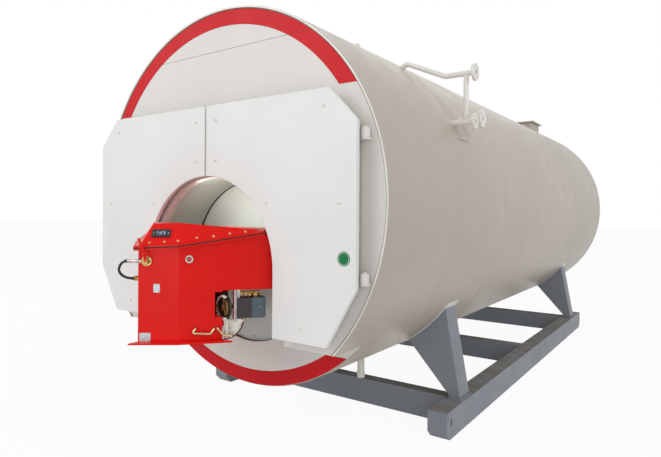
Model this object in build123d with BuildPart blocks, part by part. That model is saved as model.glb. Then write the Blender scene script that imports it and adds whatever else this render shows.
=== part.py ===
"""Horizontal fire-tube boiler on a skid: insulated drum, front smokebox with two hinged doors, and burner.

Millimetres, +Z up, +X to the right of someone who faces the burner, +Y from the front to the back.
The origin is on the floor, below the middle of the whole object.
Lengths along the drum are counted from the smokebox front, and heights from the drum's centre line.
"""

from build123d import *
from math import atan2, cos, hypot, radians, sin, sqrt, tan
import os

os.makedirs("parts", exist_ok=True)

# Drum and casing
CASING_R = 1100.0  # outside radius of the insulated casing
CASING_LENGTH = 5890.0
GROUND_CLEAR = 340.0  # casing's lowest line above the floor
LAGGING = 40.0  # wool and sheet together
DRUM_WALL = 16.0
TUBE_PLATE_T = 22.0
REAR_TUBE_PLATE_INSET = 90.0  # rear tube plate ahead of the casing's end
RING_LENGTHS = (560.0, 915.0, 2060.0)  # the rear ring takes what is left
END_PLATE_T = 12.0
REAR_COVER_R = 290.0
REAR_COVER_T = 18.0
FIT = 0.3  # gap between curved faces that rest on each other

# Smokebox
SMOKEBOX_DEPTH = 275.0
FLOOR_RISE = 352.0  # smokebox floor above the casing's lowest line
SHEET_T = 8.0
RIM_PROUD = 6.0  # the casing's rim ahead of the front plate
RIM_SHEET = 12.0
RIM_GAP = 4.0  # dark joint between the rim and the front plate
RIM_CHAMFER = 2.0
FRONT_FLANGE_W = 48.0  # ring inside the wall that the front plate is bolted to
PANEL_SEAM_DROP = 220.0  # joint of the top panel below the front plate's crest
SEAM_GAP = 2.0
PANEL_RAIL_H = 60.0
BAND_T = 1.5
BAND_WIDTH = 84.0
UPPER_BAND_DROP = 517.0  # from the front plate's crest down to the band's ends
LOWER_BAND_RISE = 266.0  # from the casing's lowest line up to the lower band's ends
LOWER_PLATE_INSET = 6.0  # casing edge that shows round the lower front plate

# Burner recess and furnace front
RECESS_SHARE = 0.45  # recess's radius in the casing's
ARCH_CREST = 144.0  # recess's crest above the centre line
RECESS_SHEET = 8.0
BURNER_PLATE_CLEAR = 8.0
BURNER_PLATE_SET = 15.0  # burner plate's face behind the smokebox's back
BURNER_PLATE_T = 20.0
LOWER_PLATE_CLEAR = 2.0

# Smoke tubes that the doors uncover
TUBE_HOLE_R = 38.0
TUBE_PITCH = 110.0
TUBE_ROWS = 3
TUBE_COLUMNS = 2
TUBE_FIELD_X = 690.0
TUBE_FIELD_Z = 0.0

# Smokebox doors and their covers
DOOR_GAP = 12.0  # slit between the two covers
COVER_SIDE_MARGIN = 113.0  # casing that shows beside a cover
COVER_TOP_DROP = 550.0  # covers' top below the front plate's crest
COVER_BOTTOM_RISE = 61.0  # covers' bottom above the smokebox floor
UPPER_CHAMFER = (153.0, 165.0)
LOWER_CHAMFER = (164.0, 286.0)
COVER_FACE = 101.0  # cover's outer face ahead of the front plate
COVER_SHEET = 4.0
COVER_RETURN = 24.0
COVER_EDGE_R = 3.0
DOOR_INSET = 40.0  # door leaf inside its cover's outline
DOOR_T = 36.0
DOOR_CLEAR = 5.0
ACCESS_FRAME = 42.0  # front plate that a door leaf overlaps
STAY_R = 15.0
STAY_ARCH_MARGIN = 87.0  # stay above the arch's crest
SIDE_STAY_MARGIN = 72.5  # stay beside the arch
SIDE_STAY_ANGLE = 37.4  # degrees above level, about the arch's centre

# Hinges
HINGE_OUTSET = 7.0  # pin outside the cover's side
HINGE_Y = -38.0
UPPER_HINGE_DROP = 218.0  # from the covers' top
LOWER_HINGE_RISE = 335.0  # from the covers' bottom
BARREL_R = 23.0
BARREL_H = 46.0
BARREL_LIFT = 0.5
PIN_R = 11.0
PIN_CLEAR = 0.05
PIN_HEAD_H = 6.0
BRACKET_T = 10.0
BRACKET_FOOT = 18.0  # bracket's outer edge on the front plate, beyond the pin
STRAP_T = 8.0
STRAP_L = 130.0
STRAP_H = 32.0

# Skid
RAIL_INSET = 103.0  # rails' outer faces inside the casing's widest line
RAIL_W = 128.0
RAIL_H = 174.0
RAIL_FRONT = 940.0
RAIL_BACK = 5110.0
RAIL_BEVEL = 45.0
SLOT_W = 20.0
SLOT_L = 50.0
SLOT_FROM_END = 70.0
SLOT_RAISE = 14.0  # slot's centre above the rail's middle
BEAM_W = 100.0
BEAM_FRONTS = (1232.0, 2948.0, 4700.0)
SADDLE_FRONTS = (1212.0, 4680.0)
SADDLE_DEPTH = 165.0
SADDLE_PLATE = 16.0
SADDLE_TOP_IN = 129.0  # saddle's outer edge at the casing, inside the rail's outer face
SADDLE_FOOT_IN = 25.0  # the same edge on the rail
SADDLE_HEEL_IN = 92.0  # saddle's inner edge on the rail
SADDLE_TOE_IN = 394.0  # saddle's inner end under the casing
FOOT_PAD_T = 12.0
FOOT_PAD_PROUD = 12.0

# Gauge pipes, nozzles, vent, drain and flue
GAUGE_Y = 1040.0
PIPE_R = 16.85
RISER_R = 16.0
PIPE_BORE_R = 13.65
PIPE_BORE_L = 60.0
GAUGE_LOW_Z = 506.0
GAUGE_HIGH_Z = 803.0
GAUGE_REACH = 26.0  # flange faces beyond the casing's widest line
RISER_BACK = 62.0  # riser inside the flange faces
GAUGE_EXIT_ANGLE = 56.1  # degrees above level where the high pipe leaves the casing
GAUGE_EXIT_RISE = (51.0, 10.0)
GAUGE_TURN_BACK = 134.0  # high pipe's last bend inside the riser
GAUGE_BEND_R = 40.0
FLANGE_T = 16.0
UPPER_FLANGE_R = 52.5
UPPER_FLANGE_PCD = 75.0
LOWER_FLANGE_R = 47.5
LOWER_FLANGE_PCD = 65.0
NOZZLE_FLANGE_R = 57.5
NOZZLE_FLANGE_PCD = 85.0
FLANGE_HOLE_R = 7.0
NOZZLE_Y = 1215.0
NOZZLE_Z = 548.0
NOZZLE_REACH = 10.0
VENT_Y = 1489.0
VENT_R = 24.15
VENT_H = 190.0
DRAIN_X = 330.0
DRAIN_Y = 1037.0
DRAIN_R = 24.15
DRAIN_DROP = 88.0  # drain's end below the casing's lowest line
DRAIN_SOCKET_R = 26.5
DRAIN_SOCKET_H = 42.0
FLUE_FROM_END = 345.0
FLUE_HALF_X = 350.0
FLUE_HALF_Y = 195.0
FLUE_RISE = 66.0  # flue collar above the casing's crest
FLUE_WALL = 10.0
FLUE_LID_T = 12.0
FLUE_LID_PROUD = 32.0

# Burner housing and lid
BOW_Y = -532.0  # front edge of the housing
SHOULDER_X = 157.0
SHOULDER_Y = -410.0
BURNER_SIDE_CLEAR = 40.0  # between the housing's flank and the recess
BURNER_ARCH_CLEAR = 15.0  # the same where the arch curves in above the housing
FLANK_Y = -58.0  # where the housing's flanks turn parallel
BURNER_BACK_Y = 20.0
BURNER_BOTTOM = -700.0
JOINT_BOW_Z = -231.0
JOINT_SHOULDER_Z = -222.0
JOINT_BACK_Z = -155.0
JOINT_BACK_Y = -82.0
JOINT_END_Z = -137.0
JOINT_FLANGE_T = 12.0
JOINT_PROUD = 22.0
JOINT_LAP = 15.0  # lid's flange under its leaning walls
LID_BROW_Y = -443.0  # crest of the lid's bow, which leans back to it
LID_BROW_Z = -115.0
LID_CREASE = (102.0, -364.0)  # top of the crease between the lid's bow and its leaning side
LID_RIDGE_Z = -109.0
LID_SLOPE_Y = -95.0
LID_SLOPE_Z = -145.0
LID_END_Y = -55.0
BASE_PLATE_T = 8.0
BASE_PROUD = 45.0
BASE_BACK_Y = -241.0
NECK_R = 165.0
NOTCH_X = 60.0
NOTCH_Y = -248.0
NOTCH_TOP = -446.0
POCKET_X = 200.0
POCKET_L = 28.0
POCKET_TOP = -455.0
POCKET_BOTTOM = -580.0

# Pieces on the burner: distances along its walls from their front edges
DISPLAY_AT = (0.44, -163.0)  # share of the way from the bow's front edge to its crease, and height
DISPLAY_SIZE = (93.0, 43.0)
DISPLAY_T = 6.0
SIGHT_AT = (49.0, -287.0)
SIGHT_R = 19.0
SIGHT_T = 14.0
SIGHT_GLASS_R = 12.0
SIGHT_GLASS_DEPTH = 6.0
BRACKET_AT = 270.0
SERVO_BRACKET_T = 13.0
SERVO_BRACKET_BOTTOM = -600.0
SERVO_L = 146.0
SERVO_BOTTOM = -590.0
SERVO_TOP = -489.0
SERVO_DEPTH = 75.0
SERVO_EDGE_R = 12.0
CAM_R = 62.5
CAM_T = 10.0
CAM_AT = (284.0, -214.0, -536.0)
CAM_TURN = 15.0  # degrees that the cam disc faces to the left of straight ahead
CAM_SHAFT_R = 9.0
CAM_SHAFT_L = 60.0
QUADRANT_R = 102.0
QUADRANT_AT = 222.0
QUADRANT_IN = 30.0
QUADRANT_T = 10.0
OIL_PIPE_R = 6.0
OIL_PIPE_OUT = 18.0
OIL_PIPE_BEND = 7.0
OIL_LOOP = ((82.0, -630.0), (62.0, -652.0), (154.0, -659.0), (172.0, -632.0))
OIL_BRANCH = ((188.0, -632.0), (216.0, -668.0), (258.0, -674.0))
FITTING_AT = (43.0, -296.0)
FITTING_R = 25.0
FITTING_T = 12.0
COCK_R = 14.0
COCK_L = 14.0
COCK_PIPE_R = 8.0
COCK_BACK = 25.0  # pipe's centre line ahead of the wall
HOSE_FITTING_AT = (57.0, -388.0)
HOSE_FITTING_R = 13.0
HOSE_FITTING_L = 20.0
HOSE_R = 6.5
HOSE_START = (-45.0, -560.0, -298.0)
HOSE_LEAD = 24.0  # straight run out of each end's fitting, before the first bend
HOSE_MIDDLE = ((-86.0, -577.0, -319.0), (-94.0, -579.0, -347.0), (-88.0, -561.0, -374.0))

# Derived values
AXIS_Z = CASING_R + GROUND_CLEAR  # height of the drum's centre line above the floor
DRUM_R = CASING_R - LAGGING
WALL_IN_R = CASING_R - RIM_SHEET
PLATE_R = WALL_IN_R - RIM_GAP
SMOKEBOX_FLOOR = FLOOR_RISE - CASING_R
RECESS_R = RECESS_SHARE * CASING_R
RECESS_Z = ARCH_CREST - RECESS_R
PANEL_SEAM_Z = PLATE_R - PANEL_SEAM_DROP
UPPER_BAND_END = PLATE_R - UPPER_BAND_DROP
LOWER_BAND_END = LOWER_BAND_RISE - CASING_R
BURNER_PLATE_Y = SMOKEBOX_DEPTH + BURNER_PLATE_SET
COVER_TOP = PLATE_R - COVER_TOP_DROP
COVER_BOTTOM = SMOKEBOX_FLOOR + COVER_BOTTOM_RISE
BURNER_PLATE_R = RECESS_R - BURNER_PLATE_CLEAR
COVER_HALF_W = CASING_R - COVER_SIDE_MARGIN
DOOR_FACE = DOOR_CLEAR + DOOR_T
SLIT = DOOR_GAP / 2
HINGE_X = COVER_HALF_W + HINGE_OUTSET
HINGE_ZS = (COVER_TOP - UPPER_HINGE_DROP, COVER_BOTTOM + LOWER_HINGE_RISE)
RAIL_OUTER_X = CASING_R - RAIL_INSET
RAIL_INNER_X = RAIL_OUTER_X - RAIL_W
RAIL_TOP = RAIL_H - AXIS_Z
GAUGE_FLANGE_X = CASING_R + GAUGE_REACH
RISER_X = GAUGE_FLANGE_X - RISER_BACK
BURNER_HALF_W = RECESS_R - BURNER_SIDE_CLEAR
BOW_WALL = ((0.0, BOW_Y), (SHOULDER_X, SHOULDER_Y))
LEFT_BOW_WALL = ((-SHOULDER_X, SHOULDER_Y), (0.0, BOW_Y))
FLANK_WALL = ((SHOULDER_X, SHOULDER_Y), (BURNER_HALF_W, FLANK_Y))
BOW_ANGLE = atan2(SHOULDER_Y - BOW_Y, SHOULDER_X)
FRONT_REACH = BASE_PROUD / cos(BOW_ANGLE) - BOW_Y
REAR_REACH = CASING_LENGTH + END_PLATE_T + REAR_COVER_T
FRONT_Y = (FRONT_REACH - REAR_REACH) / 2
WIDE = 3 * CASING_R  # longer than anything that it cuts


def across(y, z=AXIS_Z):
    """Plane that faces the front, at a distance behind the smokebox front."""
    return Plane(origin=(0, FRONT_Y + y, z), x_dir=(1, 0, 0), z_dir=(0, -1, 0))


def level(z):
    """Plane that faces up, at a height from the centre line, with local y from the smokebox front."""
    return Plane(origin=(0, FRONT_Y, AXIS_Z + z), x_dir=(1, 0, 0), z_dir=(0, 0, 1))


def upright(x):
    """Plane that faces +X, with local x from the smokebox front and local y from the centre line."""
    return Plane(origin=(x, FRONT_Y, AXIS_Z), x_dir=(0, 1, 0), z_dir=(1, 0, 0))


def on_wall(wall, along, z, out=0.0):
    """Plane on an upright burner wall: local x runs along it, local y up, and it faces out."""
    (x0, y0), (x1, y1) = wall
    length = hypot(x1 - x0, y1 - y0)
    run_x = (x1 - x0) / length
    run_y = (y1 - y0) / length
    origin = (x0 + run_x * along + run_y * out, FRONT_Y + y0 + run_y * along - run_x * out, AXIS_Z + z)
    return Plane(origin=origin, x_dir=(run_x, run_y, 0), z_dir=(run_y, -run_x, 0))


def half_width(z, radius=CASING_R):
    """Half width of a round section at a height from the centre line."""
    return sqrt(radius**2 - z**2)


def save(part, name):
    """Name a finished piece and write its file."""
    part.label = name
    export_step(part, f"parts/{name}.step")


def save_pair(part, name):
    """Write a right-hand piece and its mirrored twin."""
    save(part, f"{name}_right")
    save(mirror(part, about=Plane.YZ), f"{name}_left")


def ring(outer, inner, start, end):
    """Round collar about the drum's centre line, between two distances from the front."""
    with BuildPart() as piece:
        with BuildSketch(across(start)):
            Circle(outer)
            Circle(inner, mode=Mode.SUBTRACT)
        extrude(amount=start - end)
    return piece.part


def disc(radius, start, end, z=0.0):
    """Round plate between two distances from the front."""
    with BuildPart() as piece:
        with BuildSketch(across(start, AXIS_Z + z)):
            Circle(radius)
        extrude(amount=start - end)
    return piece.part


def above(z):
    """Everything above a height, as a sketch."""
    with BuildSketch() as region:
        with Locations((0, z)):
            Rectangle(WIDE, WIDE, align=(Align.CENTER, Align.MIN))
    return region.sketch


def below(z):
    """Everything below a height, as a sketch."""
    with BuildSketch() as region:
        with Locations((0, z)):
            Rectangle(WIDE, WIDE, align=(Align.CENTER, Align.MAX))
    return region.sketch


def right_of(x):
    """Everything to the right of a line, as a sketch."""
    with BuildSketch() as region:
        with Locations((x, 0)):
            Rectangle(WIDE, WIDE, align=(Align.MIN, Align.CENTER))
    return region.sketch


def arch(radius, bottom):
    """Arch about the furnace's centre, with straight legs down to a level."""
    with BuildSketch() as outline:
        with Locations((0, RECESS_Z)):
            Circle(radius)
            Rectangle(2 * radius, RECESS_Z - bottom, align=(Align.CENTER, Align.MAX))
        add(below(bottom), mode=Mode.SUBTRACT)
    return outline.sketch


# Drum and its tube plates
tube_plate_back = SMOKEBOX_DEPTH + TUBE_PLATE_T
rear_plate_y = CASING_LENGTH - REAR_TUBE_PLATE_INSET
save(ring(DRUM_R, DRUM_R - DRUM_WALL, tube_plate_back, rear_plate_y), "drum_shell")
save(disc(DRUM_R, rear_plate_y, rear_plate_y + TUBE_PLATE_T), "rear_tube_plate")

with BuildPart() as front_tube_plate:
    with BuildSketch(across(SMOKEBOX_DEPTH)):
        Circle(DRUM_R)
        with Locations((-TUBE_FIELD_X, TUBE_FIELD_Z), (TUBE_FIELD_X, TUBE_FIELD_Z)):
            with GridLocations(TUBE_PITCH, TUBE_PITCH, TUBE_COLUMNS, TUBE_ROWS):
                Circle(TUBE_HOLE_R, mode=Mode.SUBTRACT)
        with Locations((0, RECESS_Z)):
            Circle(BURNER_PLATE_R + FIT, mode=Mode.SUBTRACT)
    extrude(amount=-TUBE_PLATE_T)
save(front_tube_plate.part, "front_tube_plate")

# Insulated casing, in rings, and its closed back
seams = [SMOKEBOX_DEPTH]
for ring_length in RING_LENGTHS:
    seams.append(seams[-1] + ring_length)
seams.append(CASING_LENGTH)
for ring_name, start, end in zip(("front", "second", "third", "rear"), seams, seams[1:]):
    save(ring(CASING_R, DRUM_R + FIT, start, end), f"casing_ring_{ring_name}")

with BuildPart() as rear_end_plate:
    with BuildSketch(across(CASING_LENGTH)):
        Circle(CASING_R)
    extrude(amount=-END_PLATE_T)
    fillet(rear_end_plate.edges().filter_by(GeomType.CIRCLE).sort_by(Axis.Y)[-1], END_PLATE_T / 2)
save(rear_end_plate.part, "rear_end_plate")
cover_start = CASING_LENGTH + END_PLATE_T
save(disc(REAR_COVER_R, cover_start, cover_start + REAR_COVER_T, RECESS_Z), "rear_access_cover")

# Smokebox wall, with the flange that carries the front plate
with BuildPart() as smokebox_wall:
    with BuildSketch(across(-RIM_PROUD)):
        Circle(CASING_R)
        Circle(WALL_IN_R, mode=Mode.SUBTRACT)
        add(below(SMOKEBOX_FLOOR), mode=Mode.SUBTRACT)
    extrude(amount=-SMOKEBOX_DEPTH - RIM_PROUD)
    rim = smokebox_wall.faces().sort_by(Axis.Y)[0]
    chamfer(rim.edges().filter_by(GeomType.CIRCLE), RIM_CHAMFER)
    with BuildSketch(across(SHEET_T)):
        Circle(WALL_IN_R + RIM_SHEET / 2)
        Circle(WALL_IN_R - FRONT_FLANGE_W, mode=Mode.SUBTRACT)
        add(below(SMOKEBOX_FLOOR + SHEET_T), mode=Mode.SUBTRACT)
    extrude(amount=-SHEET_T)
save(smokebox_wall.part, "smokebox_wall")

# Recess for the burner and the floor beside it
recess_outer = RECESS_R + RECESS_SHEET
with BuildPart() as recess_wall:
    with BuildSketch(across(SHEET_T)):
        add(arch(recess_outer, SMOKEBOX_FLOOR))
        add(arch(RECESS_R, SMOKEBOX_FLOOR - 1), mode=Mode.SUBTRACT)
    extrude(amount=SHEET_T - SMOKEBOX_DEPTH)
save(recess_wall.part, "recess_wall")

floor_outer = half_width(SMOKEBOX_FLOOR, WALL_IN_R) - FIT
with BuildPart() as smokebox_floor:
    with BuildSketch(level(SMOKEBOX_FLOOR)):
        with Locations((recess_outer, SHEET_T), (-floor_outer, SHEET_T)):
            Rectangle(floor_outer - recess_outer, SMOKEBOX_DEPTH - SHEET_T, align=Align.MIN)
    extrude(amount=SHEET_T)
save(smokebox_floor.part, "smokebox_floor")


def door_outline(inset):
    """Outline of both doors together, inside the covers' edge by an inset."""
    right = (
        (COVER_HALF_W - UPPER_CHAMFER[0], COVER_TOP),
        (COVER_HALF_W, COVER_TOP - UPPER_CHAMFER[1]),
        (COVER_HALF_W, COVER_BOTTOM + LOWER_CHAMFER[1]),
        (COVER_HALF_W - LOWER_CHAMFER[0], COVER_BOTTOM),
    )
    with BuildSketch() as outline:
        with BuildLine():
            Polyline(*right, *[(-x, z) for x, z in reversed(right)], close=True)
        make_face()
        if inset:
            offset(amount=-inset, kind=Kind.INTERSECTION)
    return outline.sketch


def right_door(inset, gap, arch_radius):
    """Outline of the right door: inside the covers' edge, beside a gap and round the arch."""
    with BuildSketch() as outline:
        add(door_outline(inset))
        add(right_of(gap), mode=Mode.INTERSECT)
        add(arch(arch_radius, COVER_BOTTOM - 1), mode=Mode.SUBTRACT)
    return outline.sketch


# Front plate, its top panel and the rail behind their joint
access_right = right_door(DOOR_INSET + ACCESS_FRAME, ACCESS_FRAME, RECESS_R + ACCESS_FRAME)
access_left = mirror(access_right, about=Plane.YZ)
with BuildPart() as front_plate:
    with BuildSketch(across(0)):
        Circle(PLATE_R)
        add(above(PANEL_SEAM_Z), mode=Mode.SUBTRACT)
        add(below(SMOKEBOX_FLOOR), mode=Mode.SUBTRACT)
        add(arch(RECESS_R, SMOKEBOX_FLOOR - 1), mode=Mode.SUBTRACT)
        add(access_right, mode=Mode.SUBTRACT)
        add(access_left, mode=Mode.SUBTRACT)
    extrude(amount=-SHEET_T)
save(front_plate.part, "front_plate")

with BuildPart() as front_top_panel:
    with BuildSketch(across(0)):
        Circle(PLATE_R)
        add(below(PANEL_SEAM_Z + SEAM_GAP), mode=Mode.SUBTRACT)
    extrude(amount=-SHEET_T)
save(front_top_panel.part, "front_top_panel")

rail_half = half_width(PANEL_SEAM_Z + PANEL_RAIL_H / 2, WALL_IN_R - FRONT_FLANGE_W) - FIT
with BuildPart() as panel_rail:
    with BuildSketch(across(SHEET_T)):
        with Locations((0, PANEL_SEAM_Z)):
            Rectangle(2 * rail_half, PANEL_RAIL_H)
    extrude(amount=-SHEET_T)
save(panel_rail.part, "panel_joint_rail")

with BuildPart() as upper_band:
    with BuildSketch(across(0)):
        Circle(PLATE_R)
        Circle(PLATE_R - BAND_WIDTH, mode=Mode.SUBTRACT)
        add(below(UPPER_BAND_END), mode=Mode.SUBTRACT)
        with Locations((0, PANEL_SEAM_Z)):
            Rectangle(WIDE, SEAM_GAP, align=(Align.CENTER, Align.MIN), mode=Mode.SUBTRACT)
    extrude(amount=BAND_T)
save(upper_band.part, "upper_red_band")

# Lower front of the casing and the plate that carries the burner
lower_face = SMOKEBOX_DEPTH - SHEET_T
lower_r = CASING_R - LOWER_PLATE_INSET
with BuildPart() as lower_front:
    with BuildSketch(across(lower_face)):
        Circle(lower_r)
        add(above(SMOKEBOX_FLOOR), mode=Mode.SUBTRACT)
        with Locations((0, RECESS_Z)):
            Circle(BURNER_PLATE_R + LOWER_PLATE_CLEAR, mode=Mode.SUBTRACT)
    extrude(amount=-SHEET_T)
save(lower_front.part, "lower_front_plate")

with BuildPart() as lower_band:
    with BuildSketch(across(lower_face)):
        Circle(lower_r)
        Circle(lower_r - BAND_WIDTH, mode=Mode.SUBTRACT)
        add(above(LOWER_BAND_END), mode=Mode.SUBTRACT)
    extrude(amount=BAND_T)
save(lower_band.part, "lower_red_band")
save(disc(BURNER_PLATE_R, BURNER_PLATE_Y, BURNER_PLATE_Y + BURNER_PLATE_T, RECESS_Z), "burner_plate")

# Door leaf with the stays that hold its cover
side_stay_r = RECESS_R + SIDE_STAY_MARGIN
side_stay_angle = radians(SIDE_STAY_ANGLE)
stays = (
    (SLIT + 76, COVER_TOP - 83),
    (SLIT + 76, RECESS_Z + RECESS_R + STAY_ARCH_MARGIN),
    (COVER_HALF_W - UPPER_CHAMFER[0] - 30, COVER_TOP - 84),
    (side_stay_r * cos(side_stay_angle), RECESS_Z + side_stay_r * sin(side_stay_angle)),
    (COVER_HALF_W - 94, -7),
    ((RECESS_R + COVER_HALF_W - LOWER_CHAMFER[0]) / 2 + 16, COVER_BOTTOM + 74),
)
leaf_outline = right_door(DOOR_INSET, SLIT, RECESS_R)
with BuildPart() as door_leaf:
    with BuildSketch(across(-DOOR_CLEAR)):
        add(leaf_outline)
    extrude(amount=DOOR_T)
    with BuildSketch(across(-DOOR_FACE)):
        with Locations(*stays):
            Circle(STAY_R)
    extrude(amount=COVER_FACE - COVER_SHEET - DOOR_FACE)
save_pair(door_leaf.part, "door_leaf")

# Sheet cover with its edges turned back
cover_outline = right_door(0, SLIT, RECESS_R)
with BuildSketch() as cover_inside:
    add(cover_outline)
    offset(amount=-COVER_SHEET, kind=Kind.INTERSECTION)
with BuildPart() as door_cover:
    with BuildSketch(across(-COVER_FACE)):
        add(cover_outline)
    extrude(amount=-COVER_RETURN)
    with BuildSketch(across(COVER_SHEET - COVER_FACE)):
        add(cover_inside.sketch)
    extrude(amount=-COVER_RETURN, mode=Mode.SUBTRACT)
    fillet(door_cover.faces().sort_by(Axis.Y)[0].outer_wire().edges(), COVER_EDGE_R)
save_pair(door_cover.part, "door_cover")

# Hinge barrels on straps, and the brackets with the pins that they turn on
with BuildPart() as hinge_barrels:
    for z in HINGE_ZS:
        with BuildSketch(level(z - STRAP_H / 2)):
            with Locations((HINGE_X, -DOOR_FACE)):
                Rectangle(STRAP_L, STRAP_T, align=Align.MAX)
        extrude(amount=STRAP_H)
        with BuildSketch(level(z - BARREL_H / 2)):
            with Locations((HINGE_X, HINGE_Y)):
                Circle(BARREL_R)
        extrude(amount=BARREL_H)
        with BuildSketch(level(z - BARREL_H / 2)):
            with Locations((HINGE_X, HINGE_Y)):
                Circle(PIN_R + PIN_CLEAR)
        extrude(amount=BARREL_H, mode=Mode.SUBTRACT)
save_pair(hinge_barrels.part, "hinge_barrels")

with BuildPart() as hinge_brackets:
    for z in HINGE_ZS:
        seat = z - BARREL_H / 2 - BARREL_LIFT
        with BuildSketch(level(seat)):
            with BuildLine():
                Polyline(
                    (HINGE_X - BARREL_R, HINGE_Y), (HINGE_X - BARREL_R, 0), (HINGE_X + BRACKET_FOOT, 0),
                    (HINGE_X + BARREL_R, HINGE_Y), close=True,
                )
            make_face()
            with Locations((HINGE_X, HINGE_Y)):
                Circle(BARREL_R)
        extrude(amount=-BRACKET_T)
        with BuildSketch(level(seat)):
            with Locations((HINGE_X, HINGE_Y)):
                Circle(PIN_R)
        extrude(amount=BARREL_LIFT + BARREL_H + PIN_HEAD_H)
save_pair(hinge_brackets.part, "hinge_brackets")

# Skid: rails, cross beams and saddles
with BuildPart() as skid_rail:
    with BuildSketch(upright(RAIL_INNER_X)):
        with BuildLine():
            Polyline(
                (RAIL_FRONT + RAIL_BEVEL, -AXIS_Z), (RAIL_BACK - RAIL_BEVEL, -AXIS_Z),
                (RAIL_BACK, RAIL_BEVEL - AXIS_Z), (RAIL_BACK, RAIL_TOP),
                (RAIL_FRONT, RAIL_TOP), (RAIL_FRONT, RAIL_BEVEL - AXIS_Z), close=True,
            )
        make_face()
        slot_z = RAIL_H / 2 + SLOT_RAISE - AXIS_Z
        with Locations((RAIL_FRONT + SLOT_FROM_END, slot_z), (RAIL_BACK - SLOT_FROM_END, slot_z)):
            SlotOverall(SLOT_L, SLOT_W, rotation=90, mode=Mode.SUBTRACT)
    extrude(amount=RAIL_W)
save_pair(skid_rail.part, "skid_rail")

with BuildPart() as cross_beams:
    for y in BEAM_FRONTS:
        with BuildSketch(across(y, RAIL_H / 2)):
            Rectangle(2 * RAIL_INNER_X, RAIL_H)
        extrude(amount=-BEAM_W)
save(cross_beams.part, "cross_beams")

saddle_r = CASING_R + FIT
saddle_top_x = RAIL_OUTER_X - SADDLE_TOP_IN
saddle_foot_x = RAIL_OUTER_X - SADDLE_FOOT_IN
saddle_heel_x = RAIL_OUTER_X - SADDLE_HEEL_IN
saddle_toe_x = RAIL_OUTER_X - SADDLE_TOE_IN
pad_top = RAIL_TOP + FOOT_PAD_T
for saddle_name, y in zip(("front", "rear"), SADDLE_FRONTS):
    outer_top = -half_width(saddle_top_x, saddle_r)
    with BuildPart() as saddle:
        with BuildSketch(across(y)):
            with BuildLine():
                Polyline(
                    (saddle_toe_x, -half_width(saddle_toe_x, saddle_r)), (saddle_heel_x, pad_top),
                    (saddle_foot_x, pad_top), (saddle_top_x, outer_top), (saddle_top_x, 0),
                    (saddle_toe_x, 0), close=True,
                )
            make_face()
            Circle(saddle_r, mode=Mode.SUBTRACT)
        extrude(amount=-SADDLE_PLATE)
        with BuildSketch(across(y)):
            with BuildLine():
                Polyline(
                    (saddle_top_x - SADDLE_PLATE, 0), (saddle_top_x, 0), (saddle_top_x, outer_top),
                    (saddle_foot_x, pad_top), (saddle_foot_x - SADDLE_PLATE, pad_top),
                    (saddle_top_x - SADDLE_PLATE, outer_top), close=True,
                )
            make_face()
            Circle(saddle_r, mode=Mode.SUBTRACT)
        extrude(amount=-SADDLE_DEPTH)
        with BuildSketch(level(RAIL_TOP)):
            with Locations((saddle_heel_x - FOOT_PAD_PROUD, y - FOOT_PAD_PROUD)):
                Rectangle(
                    saddle_foot_x - saddle_heel_x + 2 * FOOT_PAD_PROUD, SADDLE_DEPTH + 2 * FOOT_PAD_PROUD,
                    align=Align.MIN,
                )
        extrude(amount=FOOT_PAD_T)
    save_pair(saddle.part, f"saddle_{saddle_name}")


def side_flange(x, y, z, radius, pcd):
    """Round flange that faces +X, with four bolt holes and the pipe's bore."""
    with BuildPart() as piece:
        with BuildSketch(upright(x - FLANGE_T)):
            with Locations((y, z)):
                Circle(radius)
                with PolarLocations(pcd / 2, 4, start_angle=45):
                    Circle(FLANGE_HOLE_R, mode=Mode.SUBTRACT)
        extrude(amount=FLANGE_T)
    return piece.part


def side_bore(x, y, z):
    """Plug that a pipe's bore cuts, from a flange's face inwards."""
    with BuildPart() as piece:
        with BuildSketch(upright(x)):
            with Locations((y, z)):
                Circle(PIPE_BORE_R)
        extrude(amount=-PIPE_BORE_L)
    return piece.part


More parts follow.
